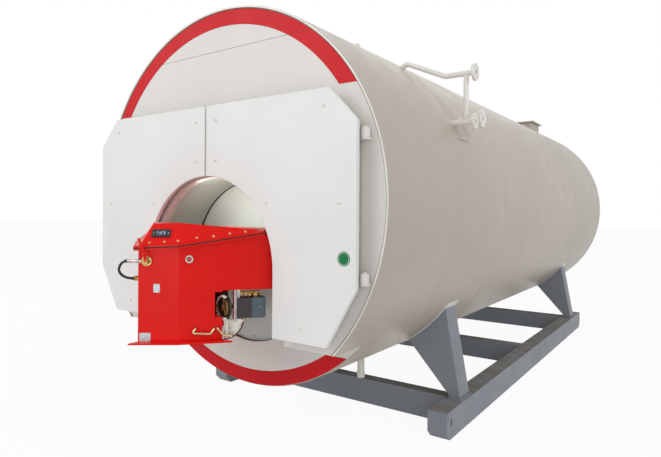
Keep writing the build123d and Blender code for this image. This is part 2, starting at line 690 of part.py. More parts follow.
# Gauge pipes on both sides, each a high and a low branch with a riser between
exit_angle = radians(GAUGE_EXIT_ANGLE)
exit_x = CASING_R * cos(exit_angle)
exit_z = CASING_R * sin(exit_angle)
low_root = half_width(GAUGE_LOW_Z) - LAGGING / 2
upper_flange = side_flange(GAUGE_FLANGE_X, GAUGE_Y, GAUGE_HIGH_Z, UPPER_FLANGE_R, UPPER_FLANGE_PCD)
lower_flange = side_flange(GAUGE_FLANGE_X, GAUGE_Y, GAUGE_LOW_Z, LOWER_FLANGE_R, LOWER_FLANGE_PCD)
with BuildPart() as gauge_pipes:
    with BuildLine(across(GAUGE_Y)) as high_branch:
        FilletPolyline(
            (exit_x - GAUGE_EXIT_RISE[0], exit_z - GAUGE_EXIT_RISE[0]),
            (exit_x + GAUGE_EXIT_RISE[0], exit_z + GAUGE_EXIT_RISE[1]),
            (RISER_X - GAUGE_TURN_BACK, GAUGE_HIGH_Z),
            (GAUGE_FLANGE_X - FLANGE_T, GAUGE_HIGH_Z),
            radius=GAUGE_BEND_R,
        )
    with BuildSketch(Plane(origin=high_branch.line @ 0, z_dir=high_branch.line % 0)):
        Circle(PIPE_R)
    sweep()
    with BuildSketch(upright(low_root)):
        with Locations((GAUGE_Y, GAUGE_LOW_Z)):
            Circle(PIPE_R)
    extrude(amount=GAUGE_FLANGE_X - FLANGE_T - low_root)
    with BuildSketch(level(GAUGE_LOW_Z)):
        with Locations((RISER_X, GAUGE_Y)):
            Circle(RISER_R)
    extrude(amount=GAUGE_HIGH_Z - GAUGE_LOW_Z)
    with BuildSketch(across(0)):
        Circle(CASING_R + FIT)
    extrude(amount=-CASING_LENGTH, mode=Mode.SUBTRACT)
    add(upper_flange)
    add(lower_flange)
    add(side_bore(GAUGE_FLANGE_X, GAUGE_Y, GAUGE_HIGH_Z), mode=Mode.SUBTRACT)
    add(side_bore(GAUGE_FLANGE_X, GAUGE_Y, GAUGE_LOW_Z), mode=Mode.SUBTRACT)
save_pair(gauge_pipes.part, "gauge_pipes")

nozzle_root = half_width(NOZZLE_Z) - LAGGING / 2
nozzle_face = CASING_R + NOZZLE_REACH
nozzle_flange = side_flange(nozzle_face, NOZZLE_Y, NOZZLE_Z, NOZZLE_FLANGE_R, NOZZLE_FLANGE_PCD)
with BuildPart() as side_nozzle:
    with BuildSketch(upright(nozzle_root)):
        with Locations((NOZZLE_Y, NOZZLE_Z)):
            Circle(PIPE_R)
    extrude(amount=nozzle_face - FLANGE_T - nozzle_root)
    with BuildSketch(across(0)):
        Circle(CASING_R + FIT)
    extrude(amount=-CASING_LENGTH, mode=Mode.SUBTRACT)
    add(nozzle_flange)
    add(side_bore(nozzle_face, NOZZLE_Y, NOZZLE_Z), mode=Mode.SUBTRACT)
save_pair(side_nozzle.part, "side_nozzle")

# Vent stub on the crest, drain pipe below and the closed flue collar at the back
with BuildPart() as vent_stub:
    with BuildSketch(level(CASING_R)):
        with Locations((0, VENT_Y)):
            Circle(VENT_R)
    extrude(amount=VENT_H)
    fillet(vent_stub.edges().filter_by(GeomType.CIRCLE).sort_by(Axis.Z)[-1], VENT_R * 0.8)
save(vent_stub.part, "vent_stub")

drain_end = -CASING_R - DRAIN_DROP
with BuildPart() as drain_pipe:
    with BuildSketch(level(drain_end)):
        with Locations((DRAIN_X, DRAIN_Y)):
            Circle(DRAIN_R)
    extrude(amount=-half_width(DRAIN_X + DRAIN_R) - drain_end)
    with BuildSketch(level(drain_end)):
        with Locations((DRAIN_X, DRAIN_Y)):
            Circle(DRAIN_SOCKET_R)
    extrude(amount=DRAIN_SOCKET_H)
    with BuildSketch(across(0)):
        Circle(CASING_R + FIT)
    extrude(amount=-CASING_LENGTH, mode=Mode.SUBTRACT)
save(drain_pipe.part, "drain_pipe")

flue_y = CASING_LENGTH - FLUE_FROM_END
flue_foot = half_width(FLUE_HALF_X)
flue_top = CASING_R + FLUE_RISE
with BuildPart() as flue_collar:
    with BuildSketch(level(flue_foot)):
        with Locations((0, flue_y)):
            Rectangle(2 * FLUE_HALF_X, 2 * FLUE_HALF_Y)
            Rectangle(2 * (FLUE_HALF_X - FLUE_WALL), 2 * (FLUE_HALF_Y - FLUE_WALL), mode=Mode.SUBTRACT)
    extrude(amount=flue_top - flue_foot)
    with BuildSketch(across(0)):
        Circle(CASING_R + FIT)
    extrude(amount=-CASING_LENGTH, mode=Mode.SUBTRACT)
save(flue_collar.part, "flue_collar")

with BuildPart() as flue_lid:
    with BuildSketch(level(flue_top)):
        with Locations((0, flue_y)):
            Rectangle(2 * (FLUE_HALF_X + FLUE_LID_PROUD), 2 * (FLUE_HALF_Y + FLUE_LID_PROUD))
    extrude(amount=FLUE_LID_T)
save(flue_lid.part, "flue_lid")


def burner_plan(proud, back):
    """Plan of the burner housing, grown by a margin and cut off square at the back."""
    right = ((SHOULDER_X, SHOULDER_Y), (BURNER_HALF_W, FLANK_Y), (BURNER_HALF_W, WIDE))
    with BuildSketch() as plan:
        with BuildLine():
            Polyline((0, BOW_Y), *right, *[(-x, y) for x, y in reversed(right)], close=True)
        make_face()
        if proud:
            offset(amount=proud, kind=Kind.INTERSECTION)
        with Locations((0, back)):
            Rectangle(WIDE, 2 * WIDE, align=(Align.CENTER, Align.MIN), mode=Mode.SUBTRACT)
    return plan.sketch


def joint_z(y):
    """Height of the housing's joint at a distance from the smokebox front."""
    if y < SHOULDER_Y:
        slope = (JOINT_SHOULDER_Z - JOINT_BOW_Z) / (SHOULDER_Y - BOW_Y)
        return JOINT_BOW_Z + slope * (y - BOW_Y)
    if y < JOINT_BACK_Y:
        slope = (JOINT_BACK_Z - JOINT_SHOULDER_Z) / (JOINT_BACK_Y - SHOULDER_Y)
        return JOINT_SHOULDER_Z + slope * (y - SHOULDER_Y)
    slope = (JOINT_END_Z - JOINT_BACK_Z) / (BURNER_BACK_Y - JOINT_BACK_Y)
    return JOINT_BACK_Z + slope * (y - JOINT_BACK_Y)


def side_profile(points):
    """Burner side profile swept across its whole width."""
    with BuildPart() as piece:
        with BuildSketch(upright(0)):
            with BuildLine():
                Polyline(*points, close=True)
            make_face()
        extrude(amount=WIDE, both=True)
    return piece.part


def plan_prism(plan):
    """Upright prism over a plan, from the burner's bottom to the drum's centre line."""
    with BuildPart() as piece:
        with BuildSketch(level(BURNER_BOTTOM)):
            add(plan)
        extrude(amount=-BURNER_BOTTOM)
    return piece.part


# Burner housing, with the lower joint flange, the notch for the damper drive and its pocket
nose_y = -FRONT_REACH
joint_line = [(y, joint_z(y)) for y in (nose_y, SHOULDER_Y, JOINT_BACK_Y)]
lower_strip = [(y, z - JOINT_FLANGE_T) for y, z in joint_line] + joint_line[::-1]
upper_strip = joint_line + [(y, z + JOINT_FLANGE_T) for y, z in reversed(joint_line)]
flange_plan = burner_plan(JOINT_PROUD, JOINT_BACK_Y)
lower_flange_plate = side_profile(lower_strip) & plan_prism(flange_plan - burner_plan(0, JOINT_BACK_Y))
upper_flange_plan = flange_plan - burner_plan(-JOINT_LAP, JOINT_BACK_Y)
upper_flange_plate = side_profile(upper_strip) & plan_prism(upper_flange_plan)
with BuildPart() as arch_clearance:
    with BuildSketch(across(nose_y)):
        add(arch(RECESS_R - BURNER_ARCH_CLEAR, BURNER_BOTTOM))
    extrude(amount=nose_y - BURNER_BACK_Y)
body_profile = side_profile([
    (nose_y, BURNER_BOTTOM + BASE_PLATE_T), (BURNER_BACK_Y, BURNER_BOTTOM + BASE_PLATE_T),
    (BURNER_BACK_Y, JOINT_END_Z), (JOINT_BACK_Y, JOINT_BACK_Z), (SHOULDER_Y, JOINT_SHOULDER_Z),
    (nose_y, joint_z(nose_y)),
])
with BuildPart() as burner_body:
    add(body_profile)
    add(plan_prism(burner_plan(0, BURNER_BACK_Y)), mode=Mode.INTERSECT)
    with BuildSketch(level(BURNER_BOTTOM)):
        with Locations((NOTCH_X, NOTCH_Y)):
            Rectangle(WIDE, WIDE, align=Align.MIN)
    extrude(amount=NOTCH_TOP - BURNER_BOTTOM, mode=Mode.SUBTRACT)
    with BuildSketch(level(POCKET_BOTTOM)):
        with Locations((POCKET_X, NOTCH_Y - POCKET_L)):
            Rectangle(WIDE, 2 * POCKET_L, align=Align.MIN)
    extrude(amount=POCKET_TOP - POCKET_BOTTOM, mode=Mode.SUBTRACT)
    add(lower_flange_plate)
    add(arch_clearance.part, mode=Mode.INTERSECT)
save(burner_body.part, "burner_housing")


def lid_bow(share, z):
    """Point of the lid's bow at a height, a share of the way from its front edge to its crease."""
    edge_y = BOW_Y + (z - JOINT_BOW_Z) / (LID_BROW_Z - JOINT_BOW_Z) * (LID_BROW_Y - BOW_Y)
    lift = (z - JOINT_SHOULDER_Z) / (LID_RIDGE_Z - JOINT_SHOULDER_Z)
    crease_x = SHOULDER_X + lift * (LID_CREASE[0] - SHOULDER_X)
    crease_y = SHOULDER_Y + lift * (LID_CREASE[1] - SHOULDER_Y)
    return Vector(share * crease_x, edge_y + share * (crease_y - edge_y), z)


lid_profile = side_profile([
    (BOW_Y, JOINT_BOW_Z), (BOW_Y, LID_BROW_Z), (LID_BROW_Y, LID_BROW_Z), (LID_CREASE[1], LID_RIDGE_Z),
    (LID_SLOPE_Y, LID_SLOPE_Z), (LID_END_Y, joint_z(LID_END_Y)), (JOINT_BACK_Y, JOINT_BACK_Z),
    (SHOULDER_Y, JOINT_SHOULDER_Z),
])
flank_share = (JOINT_BACK_Y - SHOULDER_Y) / (FLANK_Y - SHOULDER_Y)
joint_back_x = SHOULDER_X + (BURNER_HALF_W - SHOULDER_X) * flank_share
side_run = Vector(joint_back_x, JOINT_BACK_Y, JOINT_BACK_Z) - lid_bow(1, JOINT_BACK_Z)
with BuildPart() as leaning_walls:
    for z in (JOINT_BOW_Z - JOINT_LAP, LID_RIDGE_Z + JOINT_LAP):
        edge, crease = lid_bow(0, z), lid_bow(1, z)
        back = crease + side_run * 2
        with BuildSketch(level(z)):
            with BuildLine():
                Polyline(
                    (0, edge.Y), (crease.X, crease.Y), (back.X, back.Y), (-back.X, back.Y),
                    (-crease.X, crease.Y), close=True,
                )
            make_face()
    loft(ruled=True)
with BuildPart() as burner_lid:
    add(lid_profile)
    add(plan_prism(burner_plan(0, BURNER_BACK_Y)), mode=Mode.INTERSECT)
    add(leaning_walls.part, mode=Mode.INTERSECT)
    add(upper_flange_plate)
    add(arch_clearance.part, mode=Mode.INTERSECT)
save(burner_lid.part, "burner_lid")

with BuildPart() as base_plate:
    with BuildSketch(level(BURNER_BOTTOM)):
        add(burner_plan(BASE_PROUD, BASE_BACK_Y))
        add(right_of(0), mode=Mode.INTERSECT)
        add(burner_plan(0, BASE_BACK_Y))
    extrude(amount=BASE_PLATE_T)
save(base_plate.part, "burner_base_plate")
save(disc(NECK_R, BURNER_BACK_Y, BURNER_PLATE_Y, RECESS_Z), "burner_neck")

# Display on the lid's leaning bow, and sight glass
display_spot = lid_bow(*DISPLAY_AT)
display_run = lid_bow(1, DISPLAY_AT[1]) - lid_bow(0, DISPLAY_AT[1])
display_rise = lid_bow(DISPLAY_AT[0], DISPLAY_AT[1] + 1) - display_spot
display_face = Plane(
    origin=display_spot + Vector(0, FRONT_Y, AXIS_Z),
    x_dir=display_run,
    z_dir=display_run.cross(display_rise),
)
with BuildPart() as display_panel:
    with BuildSketch(display_face.offset(-DISPLAY_T)):
        Rectangle(*DISPLAY_SIZE)
    extrude(amount=2 * DISPLAY_T)
    add(burner_lid.part.moved(Location(display_face.z_dir * FIT)), mode=Mode.SUBTRACT)
save(display_panel.part, "display_panel")

with BuildPart() as sight_glass:
    with BuildSketch(on_wall(FLANK_WALL, *SIGHT_AT)):
        Circle(SIGHT_R)
    extrude(amount=SIGHT_T)
    with BuildSketch(on_wall(FLANK_WALL, *SIGHT_AT, SIGHT_T)):
        Circle(SIGHT_GLASS_R)
    extrude(amount=-SIGHT_GLASS_DEPTH, mode=Mode.SUBTRACT)
save(sight_glass.part, "sight_glass_ring")

# Damper drive in the notch: bracket, servo motor, cam disc on its shaft, and quadrant
bracket_h = NOTCH_TOP - SERVO_BRACKET_BOTTOM
with BuildPart() as servo_bracket:
    with BuildSketch(on_wall(FLANK_WALL, BRACKET_AT, SERVO_BRACKET_BOTTOM)):
        Rectangle(SERVO_BRACKET_T, bracket_h, align=Align.MIN)
    extrude(amount=-SERVO_DEPTH)
save(servo_bracket.part, "servo_bracket")

with BuildPart() as servo_motor:
    with BuildSketch(on_wall(FLANK_WALL, BRACKET_AT + SERVO_BRACKET_T, SERVO_BOTTOM)):
        Rectangle(SERVO_L, SERVO_TOP - SERVO_BOTTOM, align=Align.MIN)
    extrude(amount=-SERVO_DEPTH)
    fillet(servo_motor.edges().filter_by(Axis.Z).sort_by(Axis.X)[-1], SERVO_EDGE_R)
save(servo_motor.part, "servo_motor")

cam_facing = radians(CAM_TURN)
cam_plane = Plane(
    origin=(CAM_AT[0], FRONT_Y + CAM_AT[1], AXIS_Z + CAM_AT[2]),
    x_dir=(cos(cam_facing), -sin(cam_facing), 0),
    z_dir=(-sin(cam_facing), -cos(cam_facing), 0),
)
with BuildPart() as cam_disc:
    with BuildSketch(cam_plane):
        Circle(CAM_R)
    extrude(amount=CAM_T)
    with BuildSketch(cam_plane):
        Circle(CAM_SHAFT_R)
    extrude(amount=-CAM_SHAFT_L)
    with BuildSketch(on_wall(FLANK_WALL, BRACKET_AT, SERVO_BRACKET_BOTTOM)):
        Rectangle(WIDE, bracket_h, align=Align.MIN)
    extrude(amount=-SERVO_DEPTH, mode=Mode.SUBTRACT)
save(cam_disc.part, "damper_cam_disc")

with BuildPart() as quadrant:
    with BuildSketch(on_wall(FLANK_WALL, QUADRANT_AT, SERVO_BRACKET_BOTTOM, -QUADRANT_IN)):
        Circle(QUADRANT_R)
        add(above(0), mode=Mode.SUBTRACT)
        add(right_of(0), mode=Mode.INTERSECT)
    extrude(amount=-QUADRANT_T)
save(quadrant.part, "damper_quadrant")


# Oil pipes on the flank: a loop that leaves the wall and goes back in, and a branch to the quadrant
oil_routes = ((OIL_LOOP, 0.0), (OIL_BRANCH, -QUADRANT_IN))
with BuildPart() as oil_pipes:
    for stops, end_out in oil_routes:
        stations = [(*stops[0], 0.0), *[(*stop, OIL_PIPE_OUT) for stop in stops], (*stops[-1], end_out)]
        corners = [on_wall(FLANK_WALL, *station).origin for station in stations]
        with BuildLine() as oil_path:
            FilletPolyline(*corners, radius=OIL_PIPE_BEND)
        with BuildSketch(Plane(origin=oil_path.line @ 0, z_dir=oil_path.line % 0)):
            Circle(OIL_PIPE_R)
        sweep()
save(oil_pipes.part, "oil_pipes")

# Pressure tap on the bow, with the pipe that carries the hose
cock_start = on_wall(BOW_WALL, *FITTING_AT, COCK_BACK).origin
hose_start = Vector(HOSE_START[0], FRONT_Y + HOSE_START[1], AXIS_Z + HOSE_START[2])
with BuildPart() as pressure_tap:
    with BuildSketch(on_wall(BOW_WALL, *FITTING_AT)):
        Circle(FITTING_R)
    extrude(amount=FITTING_T)
    with BuildSketch(on_wall(BOW_WALL, *FITTING_AT, FITTING_T)):
        Circle(COCK_R)
    extrude(amount=COCK_BACK + COCK_L - FITTING_T)
    with BuildSketch(Plane(origin=cock_start, z_dir=hose_start - cock_start)):
        Circle(COCK_PIPE_R)
    extrude(amount=(hose_start - cock_start).length)
save(pressure_tap.part, "pressure_tap")

fitting_along = hypot(SHOULDER_X, SHOULDER_Y - BOW_Y) - HOSE_FITTING_AT[0]
with BuildPart() as hose_fitting:
    with BuildSketch(on_wall(LEFT_BOW_WALL, fitting_along, HOSE_FITTING_AT[1])):
        Circle(HOSE_FITTING_R)
    extrude(amount=HOSE_FITTING_L)
save(hose_fitting.part, "hose_end_fitting")

# Pressure hose
mouth = on_wall(LEFT_BOW_WALL, fitting_along, HOSE_FITTING_AT[1], HOSE_FITTING_L)
route = [
    hose_start,
    hose_start + (hose_start - cock_start).normalized() * HOSE_LEAD,
    *[Vector(x, FRONT_Y + y, AXIS_Z + z) for x, y, z in HOSE_MIDDLE],
    mouth.origin + mouth.z_dir * HOSE_LEAD,
    mouth.origin,
]
print("hose route", [tuple(round(v, 1) for v in point) for point in route])
radii = []
for before, corner, after in zip(route, route[1:], route[2:]):
    run = min((corner - before).length, (after - corner).length)
    half_turn = radians((corner - before).get_angle(after - corner)) / 2
    radii.append(0.45 * run / tan(half_turn))
print("hose bend radii", [round(r, 1) for r in radii])
with BuildPart() as pressure_hose:
    with BuildLine() as hose_path:
        FilletPolyline(*route, radius=radii)
    with BuildSketch(Plane(origin=hose_path.line @ 0, z_dir=hose_path.line % 0)):
        Circle(HOSE_R)
    sweep()
print("hose length", round(sum(edge.length for edge in hose_path.line.edges()), 1))
save(pressure_hose.part, "pressure_hose")
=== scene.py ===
"""Horizontal fire-tube boiler on its skid: its finishes, its screws and fittings, and the studio.

Sizes are millimetres in the boiler's own directions: x to the right, y back from the smokebox front and
z up from the drum's centre line. A point turns into the frame's metres where its mesh is made.
"""

from dataclasses import dataclass, field
from enum import Enum
import logging
from math import acos, asin, cos, hypot, pi, radians, sin, sqrt
from typing import Any, Iterable, Sequence

import bmesh
import bpy
from mathutils import Matrix, Vector


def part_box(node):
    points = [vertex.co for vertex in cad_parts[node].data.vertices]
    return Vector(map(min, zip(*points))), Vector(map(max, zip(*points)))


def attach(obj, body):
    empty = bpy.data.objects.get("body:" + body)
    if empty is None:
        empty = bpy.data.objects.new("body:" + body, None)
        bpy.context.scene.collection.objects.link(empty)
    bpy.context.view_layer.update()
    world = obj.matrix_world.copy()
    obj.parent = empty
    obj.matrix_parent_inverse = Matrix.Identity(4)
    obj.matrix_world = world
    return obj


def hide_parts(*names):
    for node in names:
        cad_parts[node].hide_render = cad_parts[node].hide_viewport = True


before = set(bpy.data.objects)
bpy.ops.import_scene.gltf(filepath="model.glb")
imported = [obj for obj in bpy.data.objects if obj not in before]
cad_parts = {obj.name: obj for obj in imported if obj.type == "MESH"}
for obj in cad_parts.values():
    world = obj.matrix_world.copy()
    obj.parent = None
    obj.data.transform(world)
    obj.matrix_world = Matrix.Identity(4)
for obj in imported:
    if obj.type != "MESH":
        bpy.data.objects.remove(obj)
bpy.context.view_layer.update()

LOG = logging.getLogger("boiler")
MM = 1000.0  # millimetres in a metre
MIRROR = Matrix.Diagonal((-1.0, 1.0, 1.0, 1.0))  # right-hand side to left-hand side
FACTOR, COLOUR_A, COLOUR_B, COLOUR_RESULT = 0, 6, 7, 2  # sockets of a colour Mix node
FROM_LOW, FROM_HIGH, TO_LOW, TO_HIGH = 1, 2, 3, 4  # sockets of a Map Range node
RECESS_Z = -351.0  # centre of the recess's arch, of the burner plate and of the rear cover
SMOKEBOX_FLOOR_Z = -748.0
RIGHT_AND_LEFT = ("right", "left")

Pair = tuple[float, float]
Triple = tuple[float, float, float]


class Body(Enum):
    """Bodies that pieces ride on."""

    ROOT = "root"
    RIGHT_DOOR = "right_door"
    LEFT_DOOR = "left_door"


class Slot(Enum):
    """The record's material slots."""

    CASING = "casing_paint"
    FRONT = "front_paint"
    BAND = "red_band_paint"
    INNER = "inner_sheet"
    PLATE = "boiler_plate"
    SKID = "skid_paint"
    BURNER = "burner_enamel"
    BLACK = "black_plastic"
    BRASS = "brass"
    SERVO = "servo_plastic"
    ZINC = "zinc_steel"
    RUBBER = "hose_rubber"


@dataclass(frozen=True)
class Datum:
    """Where the boiler's own millimetres start in the frame."""

    front: float
    axis: float
    casing_r: float

    @classmethod
    def from_frame(cls) -> "Datum":
        """Read the datum from the front plate and a casing ring."""
        plate_low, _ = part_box("front_plate")
        ring_low, ring_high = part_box("casing_ring_third")
        return cls(plate_low.y, (ring_low.z + ring_high.z) / 2, (ring_high.x - ring_low.x) / 2 * MM)

    def world(self, point: Vector) -> Vector:
        """Give a point of the boiler in the frame's metres."""
        return Vector((point.x / MM, self.front + point.y / MM, self.axis + point.z / MM))


DATUM = Datum.from_frame()


def linear(code: str) -> tuple[float, float, float, float]:
    """Turn an sRGB hex colour to linear light."""
    shares = [int(code[i:i + 2], 16) / 255 for i in (1, 3, 5)]
    return (*[c / 12.92 if c <= 0.04045 else ((c + 0.055) / 1.055) ** 2.4 for c in shares], 1.0)


def add_node(tree: bpy.types.NodeTree, kind: str, inputs: dict[Any, Any] | None = None,
             **settings: Any) -> bpy.types.Node:
    """Add a node with its settings and links.

    Args:
        tree: Node tree that gets the node.
        kind: Blender's name of the node's type.
        inputs: Value of each socket by name or number, or the socket that it is linked from.
        **settings: The node's own properties.

    Returns:
        The new node.
    """
    node = tree.nodes.new(kind)
    for name, value in settings.items():
        setattr(node, name, value)
    for socket, value in (inputs or {}).items():
        if isinstance(value, bpy.types.NodeSocket):
            tree.links.new(value, node.inputs[socket])
        else:
            node.inputs[socket].default_value = value
    return node


@dataclass(frozen=True)
class Finish:
    """Finish that makes its material once."""

    name: str

    def material(self) -> bpy.types.Material:
        """Make the material, or give the one that was made before."""
        known = bpy.data.materials.get(self.name)
        if known:
            return known
        made = bpy.data.materials.new(self.name)
        made.use_nodes = True
        shader = made.node_tree.nodes["Principled BSDF"]
        self.shade(made.node_tree, shader)
        return made

    def shade(self, tree: bpy.types.NodeTree, shader: bpy.types.Node) -> None:
        """Set and link the shader's sockets."""
        raise NotImplementedError


@dataclass(frozen=True)
class PaintedSteel(Finish):
    """Enamel or powder coat sprayed on steel sheet.

    Spraying leaves orange peel that softens reflections, rolled sheet waves a little between its stays,
    and the film rounds off every edge so that it catches a thin line of light.
    """

    colour: str = "#FFFFFF"
    drift: str = "#F0F0F0"  # tone that the colour drifts to
    drift_mm: float = 900.0
    gloss: Pair = (0.22, 0.34)  # roughness where cleanest and where dullest
    patch_mm: float = 160.0  # span of a patch that is duller or cleaner
    specular: float = 0.3
    peel_mm: float = 7.0  # real orange peel is 2 to 3 mm, drawn coarser so that it shows
    peel_depth: float = 0.02
    wave_mm: float = 420.0
    wave_depth: float = 0.5
    edge_mm: float = 2.0
    dust: str = ""  # colour of what settles on faces that look up
    dust_mm: float = 130.0
    wear: str = ""  # colour that shows where edges are rubbed
    rub_mm: float = 45.0

    def shade(self, tree: bpy.types.NodeTree, shader: bpy.types.Node) -> None:
        """Drift the colour, vary the gloss, and add orange peel, waves, dust and rubbed edges."""
        where = add_node(tree, "ShaderNodeTexCoord").outputs["Object"]
        geometry = add_node(tree, "ShaderNodeNewGeometry")
        tone = add_node(tree, "ShaderNodeTexNoise", {
            "Vector": where, "Scale": MM / self.drift_mm, "Detail": 3.0,
        })
        spread = add_node(tree, "ShaderNodeMapRange", {
            "Value": tone.outputs[0], FROM_LOW: 0.35, FROM_HIGH: 0.65,
        })
        colour = add_node(tree, "ShaderNodeMix", {
            FACTOR: spread.outputs[0], COLOUR_A: linear(self.colour), COLOUR_B: linear(self.drift),
        }, data_type="RGBA").outputs[COLOUR_RESULT]
        patches = add_node(tree, "ShaderNodeTexNoise", {
            "Vector": where, "Scale": MM / self.patch_mm, "Detail": 5.0,
        })
        gloss = add_node(tree, "ShaderNodeMapRange", {
            "Value": patches.outputs[0], FROM_LOW: 0.3, FROM_HIGH: 0.7,
            TO_LOW: self.gloss[0], TO_HIGH: self.gloss[1],
        }).outputs[0]
        rounded = add_node(tree, "ShaderNodeBevel", {"Radius": self.edge_mm / MM}, samples=4)
        if self.wear:
            flat = add_node(tree, "ShaderNodeVectorMath", {
                0: rounded.outputs[0], 1: geometry.outputs["Normal"],
            }, operation="DOT_PRODUCT")
            edge = add_node(tree, "ShaderNodeMapRange", {
                "Value": flat.outputs["Value"], FROM_LOW: 0.995, FROM_HIGH: 0.93,
            })
            rub = add_node(tree, "ShaderNodeTexNoise", {
                "Vector": where, "Scale": MM / self.rub_mm, "Detail": 6.0,
            })
            rubbed = add_node(tree, "ShaderNodeMapRange", {
                "Value": rub.outputs[0], FROM_LOW: 0.48, FROM_HIGH: 0.62, TO_HIGH: 0.7,
            })
            share = add_node(tree, "ShaderNodeMath", {0: edge.outputs[0], 1: rubbed.outputs[0]},
                             operation="MULTIPLY")
            colour = add_node(tree, "ShaderNodeMix", {
                FACTOR: share.outputs[0], COLOUR_A: colour, COLOUR_B: linear(self.wear),
            }, data_type="RGBA").outputs[COLOUR_RESULT]
        if self.dust:
            facing = add_node(tree, "ShaderNodeSeparateXYZ", {0: geometry.outputs["Normal"]})
            settled = add_node(tree, "ShaderNodeMapRange", {
                "Value": facing.outputs["Z"], FROM_LOW: 0.5, FROM_HIGH: 0.95,
            })
            cloud = add_node(tree, "ShaderNodeTexNoise", {
                "Vector": where, "Scale": MM / self.dust_mm, "Detail": 8.0,
            })
            lying = add_node(tree, "ShaderNodeMapRange", {
                "Value": cloud.outputs[0], FROM_LOW: 0.32, FROM_HIGH: 0.6, TO_HIGH: 0.85,
            })
            share = add_node(tree, "ShaderNodeMath", {0: settled.outputs[0], 1: lying.outputs[0]},
                             operation="MULTIPLY")
            colour = add_node(tree, "ShaderNodeMix", {
                FACTOR: share.outputs[0], COLOUR_A: colour, COLOUR_B: linear(self.dust),
            }, data_type="RGBA").outputs[COLOUR_RESULT]
            gloss = add_node(tree, "ShaderNodeMapRange", {
                "Value": share.outputs[0], TO_LOW: gloss, TO_HIGH: 0.8,
            }).outputs[0]
        peel = add_node(tree, "ShaderNodeTexNoise", {
            "Vector": where, "Scale": MM / self.peel_mm, "Detail": 1.0,
        })
        wave = add_node(tree, "ShaderNodeTexNoise", {
            "Vector": where, "Scale": MM / self.wave_mm, "Detail": 0.0,
        })
        fine = add_node(tree, "ShaderNodeBump", {
            "Height": peel.outputs[0], "Distance": self.peel_depth / MM, "Normal": rounded.outputs[0],
        })
        broad = add_node(tree, "ShaderNodeBump", {
            "Height": wave.outputs[0], "Distance": self.wave_depth / MM, "Normal": fine.outputs[0],
        })
        tree.links.new(colour, shader.inputs["Base Color"])
        tree.links.new(gloss, shader.inputs["Roughness"])
        tree.links.new(broad.outputs[0], shader.inputs["Normal"])
        shader.inputs["Specular IOR Level"].default_value = self.specular


@dataclass(frozen=True)
class PlainMetal(Finish):
    """Bare or plated metal: cast and turned brass, zinc-plated steel, or anodised sheet.

    Tarnish clouds the colour, and tool marks or the rolling direction spread its highlights.
    """

    colour: str = "#C8C8C8"
    tarnish: str = "#8A8A8A"
    cloud_mm: float = 18.0
    gloss: Pair = (0.25, 0.45)
    stretch: Triple = (1.0, 1.0, 1.0)  # squeezes the marks across their run
    mark_mm: float = 3.0
    mark_depth: float = 0.03
    edge_mm: float = 0.8

    def shade(self, tree: bpy.types.NodeTree, shader: bpy.types.Node) -> None:
        """Cloud the colour and the gloss, and add the marks."""
        where = add_node(tree, "ShaderNodeTexCoord").outputs["Object"]
        cloud = add_node(tree, "ShaderNodeTexNoise", {
            "Vector": where, "Scale": MM / self.cloud_mm, "Detail": 4.0,
        })
        spread = add_node(tree, "ShaderNodeMapRange", {
            "Value": cloud.outputs[0], FROM_LOW: 0.35, FROM_HIGH: 0.65,
        })
        colour = add_node(tree, "ShaderNodeMix", {
            FACTOR: spread.outputs[0], COLOUR_A: linear(self.colour), COLOUR_B: linear(self.tarnish),
        }, data_type="RGBA")
        gloss = add_node(tree, "ShaderNodeMapRange", {
            "Value": cloud.outputs[0], FROM_LOW: 0.35, FROM_HIGH: 0.65,
            TO_LOW: self.gloss[0], TO_HIGH: self.gloss[1],
        })
        run = add_node(tree, "ShaderNodeVectorMath", {0: where, 1: self.stretch}, operation="MULTIPLY")
        marks = add_node(tree, "ShaderNodeTexNoise", {
            "Vector": run.outputs[0], "Scale": MM / self.mark_mm, "Detail": 2.0,
        })
        rounded = add_node(tree, "ShaderNodeBevel", {"Radius": self.edge_mm / MM}, samples=4)
        bump = add_node(tree, "ShaderNodeBump", {
            "Height": marks.outputs[0], "Distance": self.mark_depth / MM, "Normal": rounded.outputs[0],
        })
        tree.links.new(colour.outputs[COLOUR_RESULT], shader.inputs["Base Color"])
        tree.links.new(gloss.outputs[0], shader.inputs["Roughness"])
        tree.links.new(bump.outputs[0], shader.inputs["Normal"])
        shader.inputs["Metallic"].default_value = 1.0


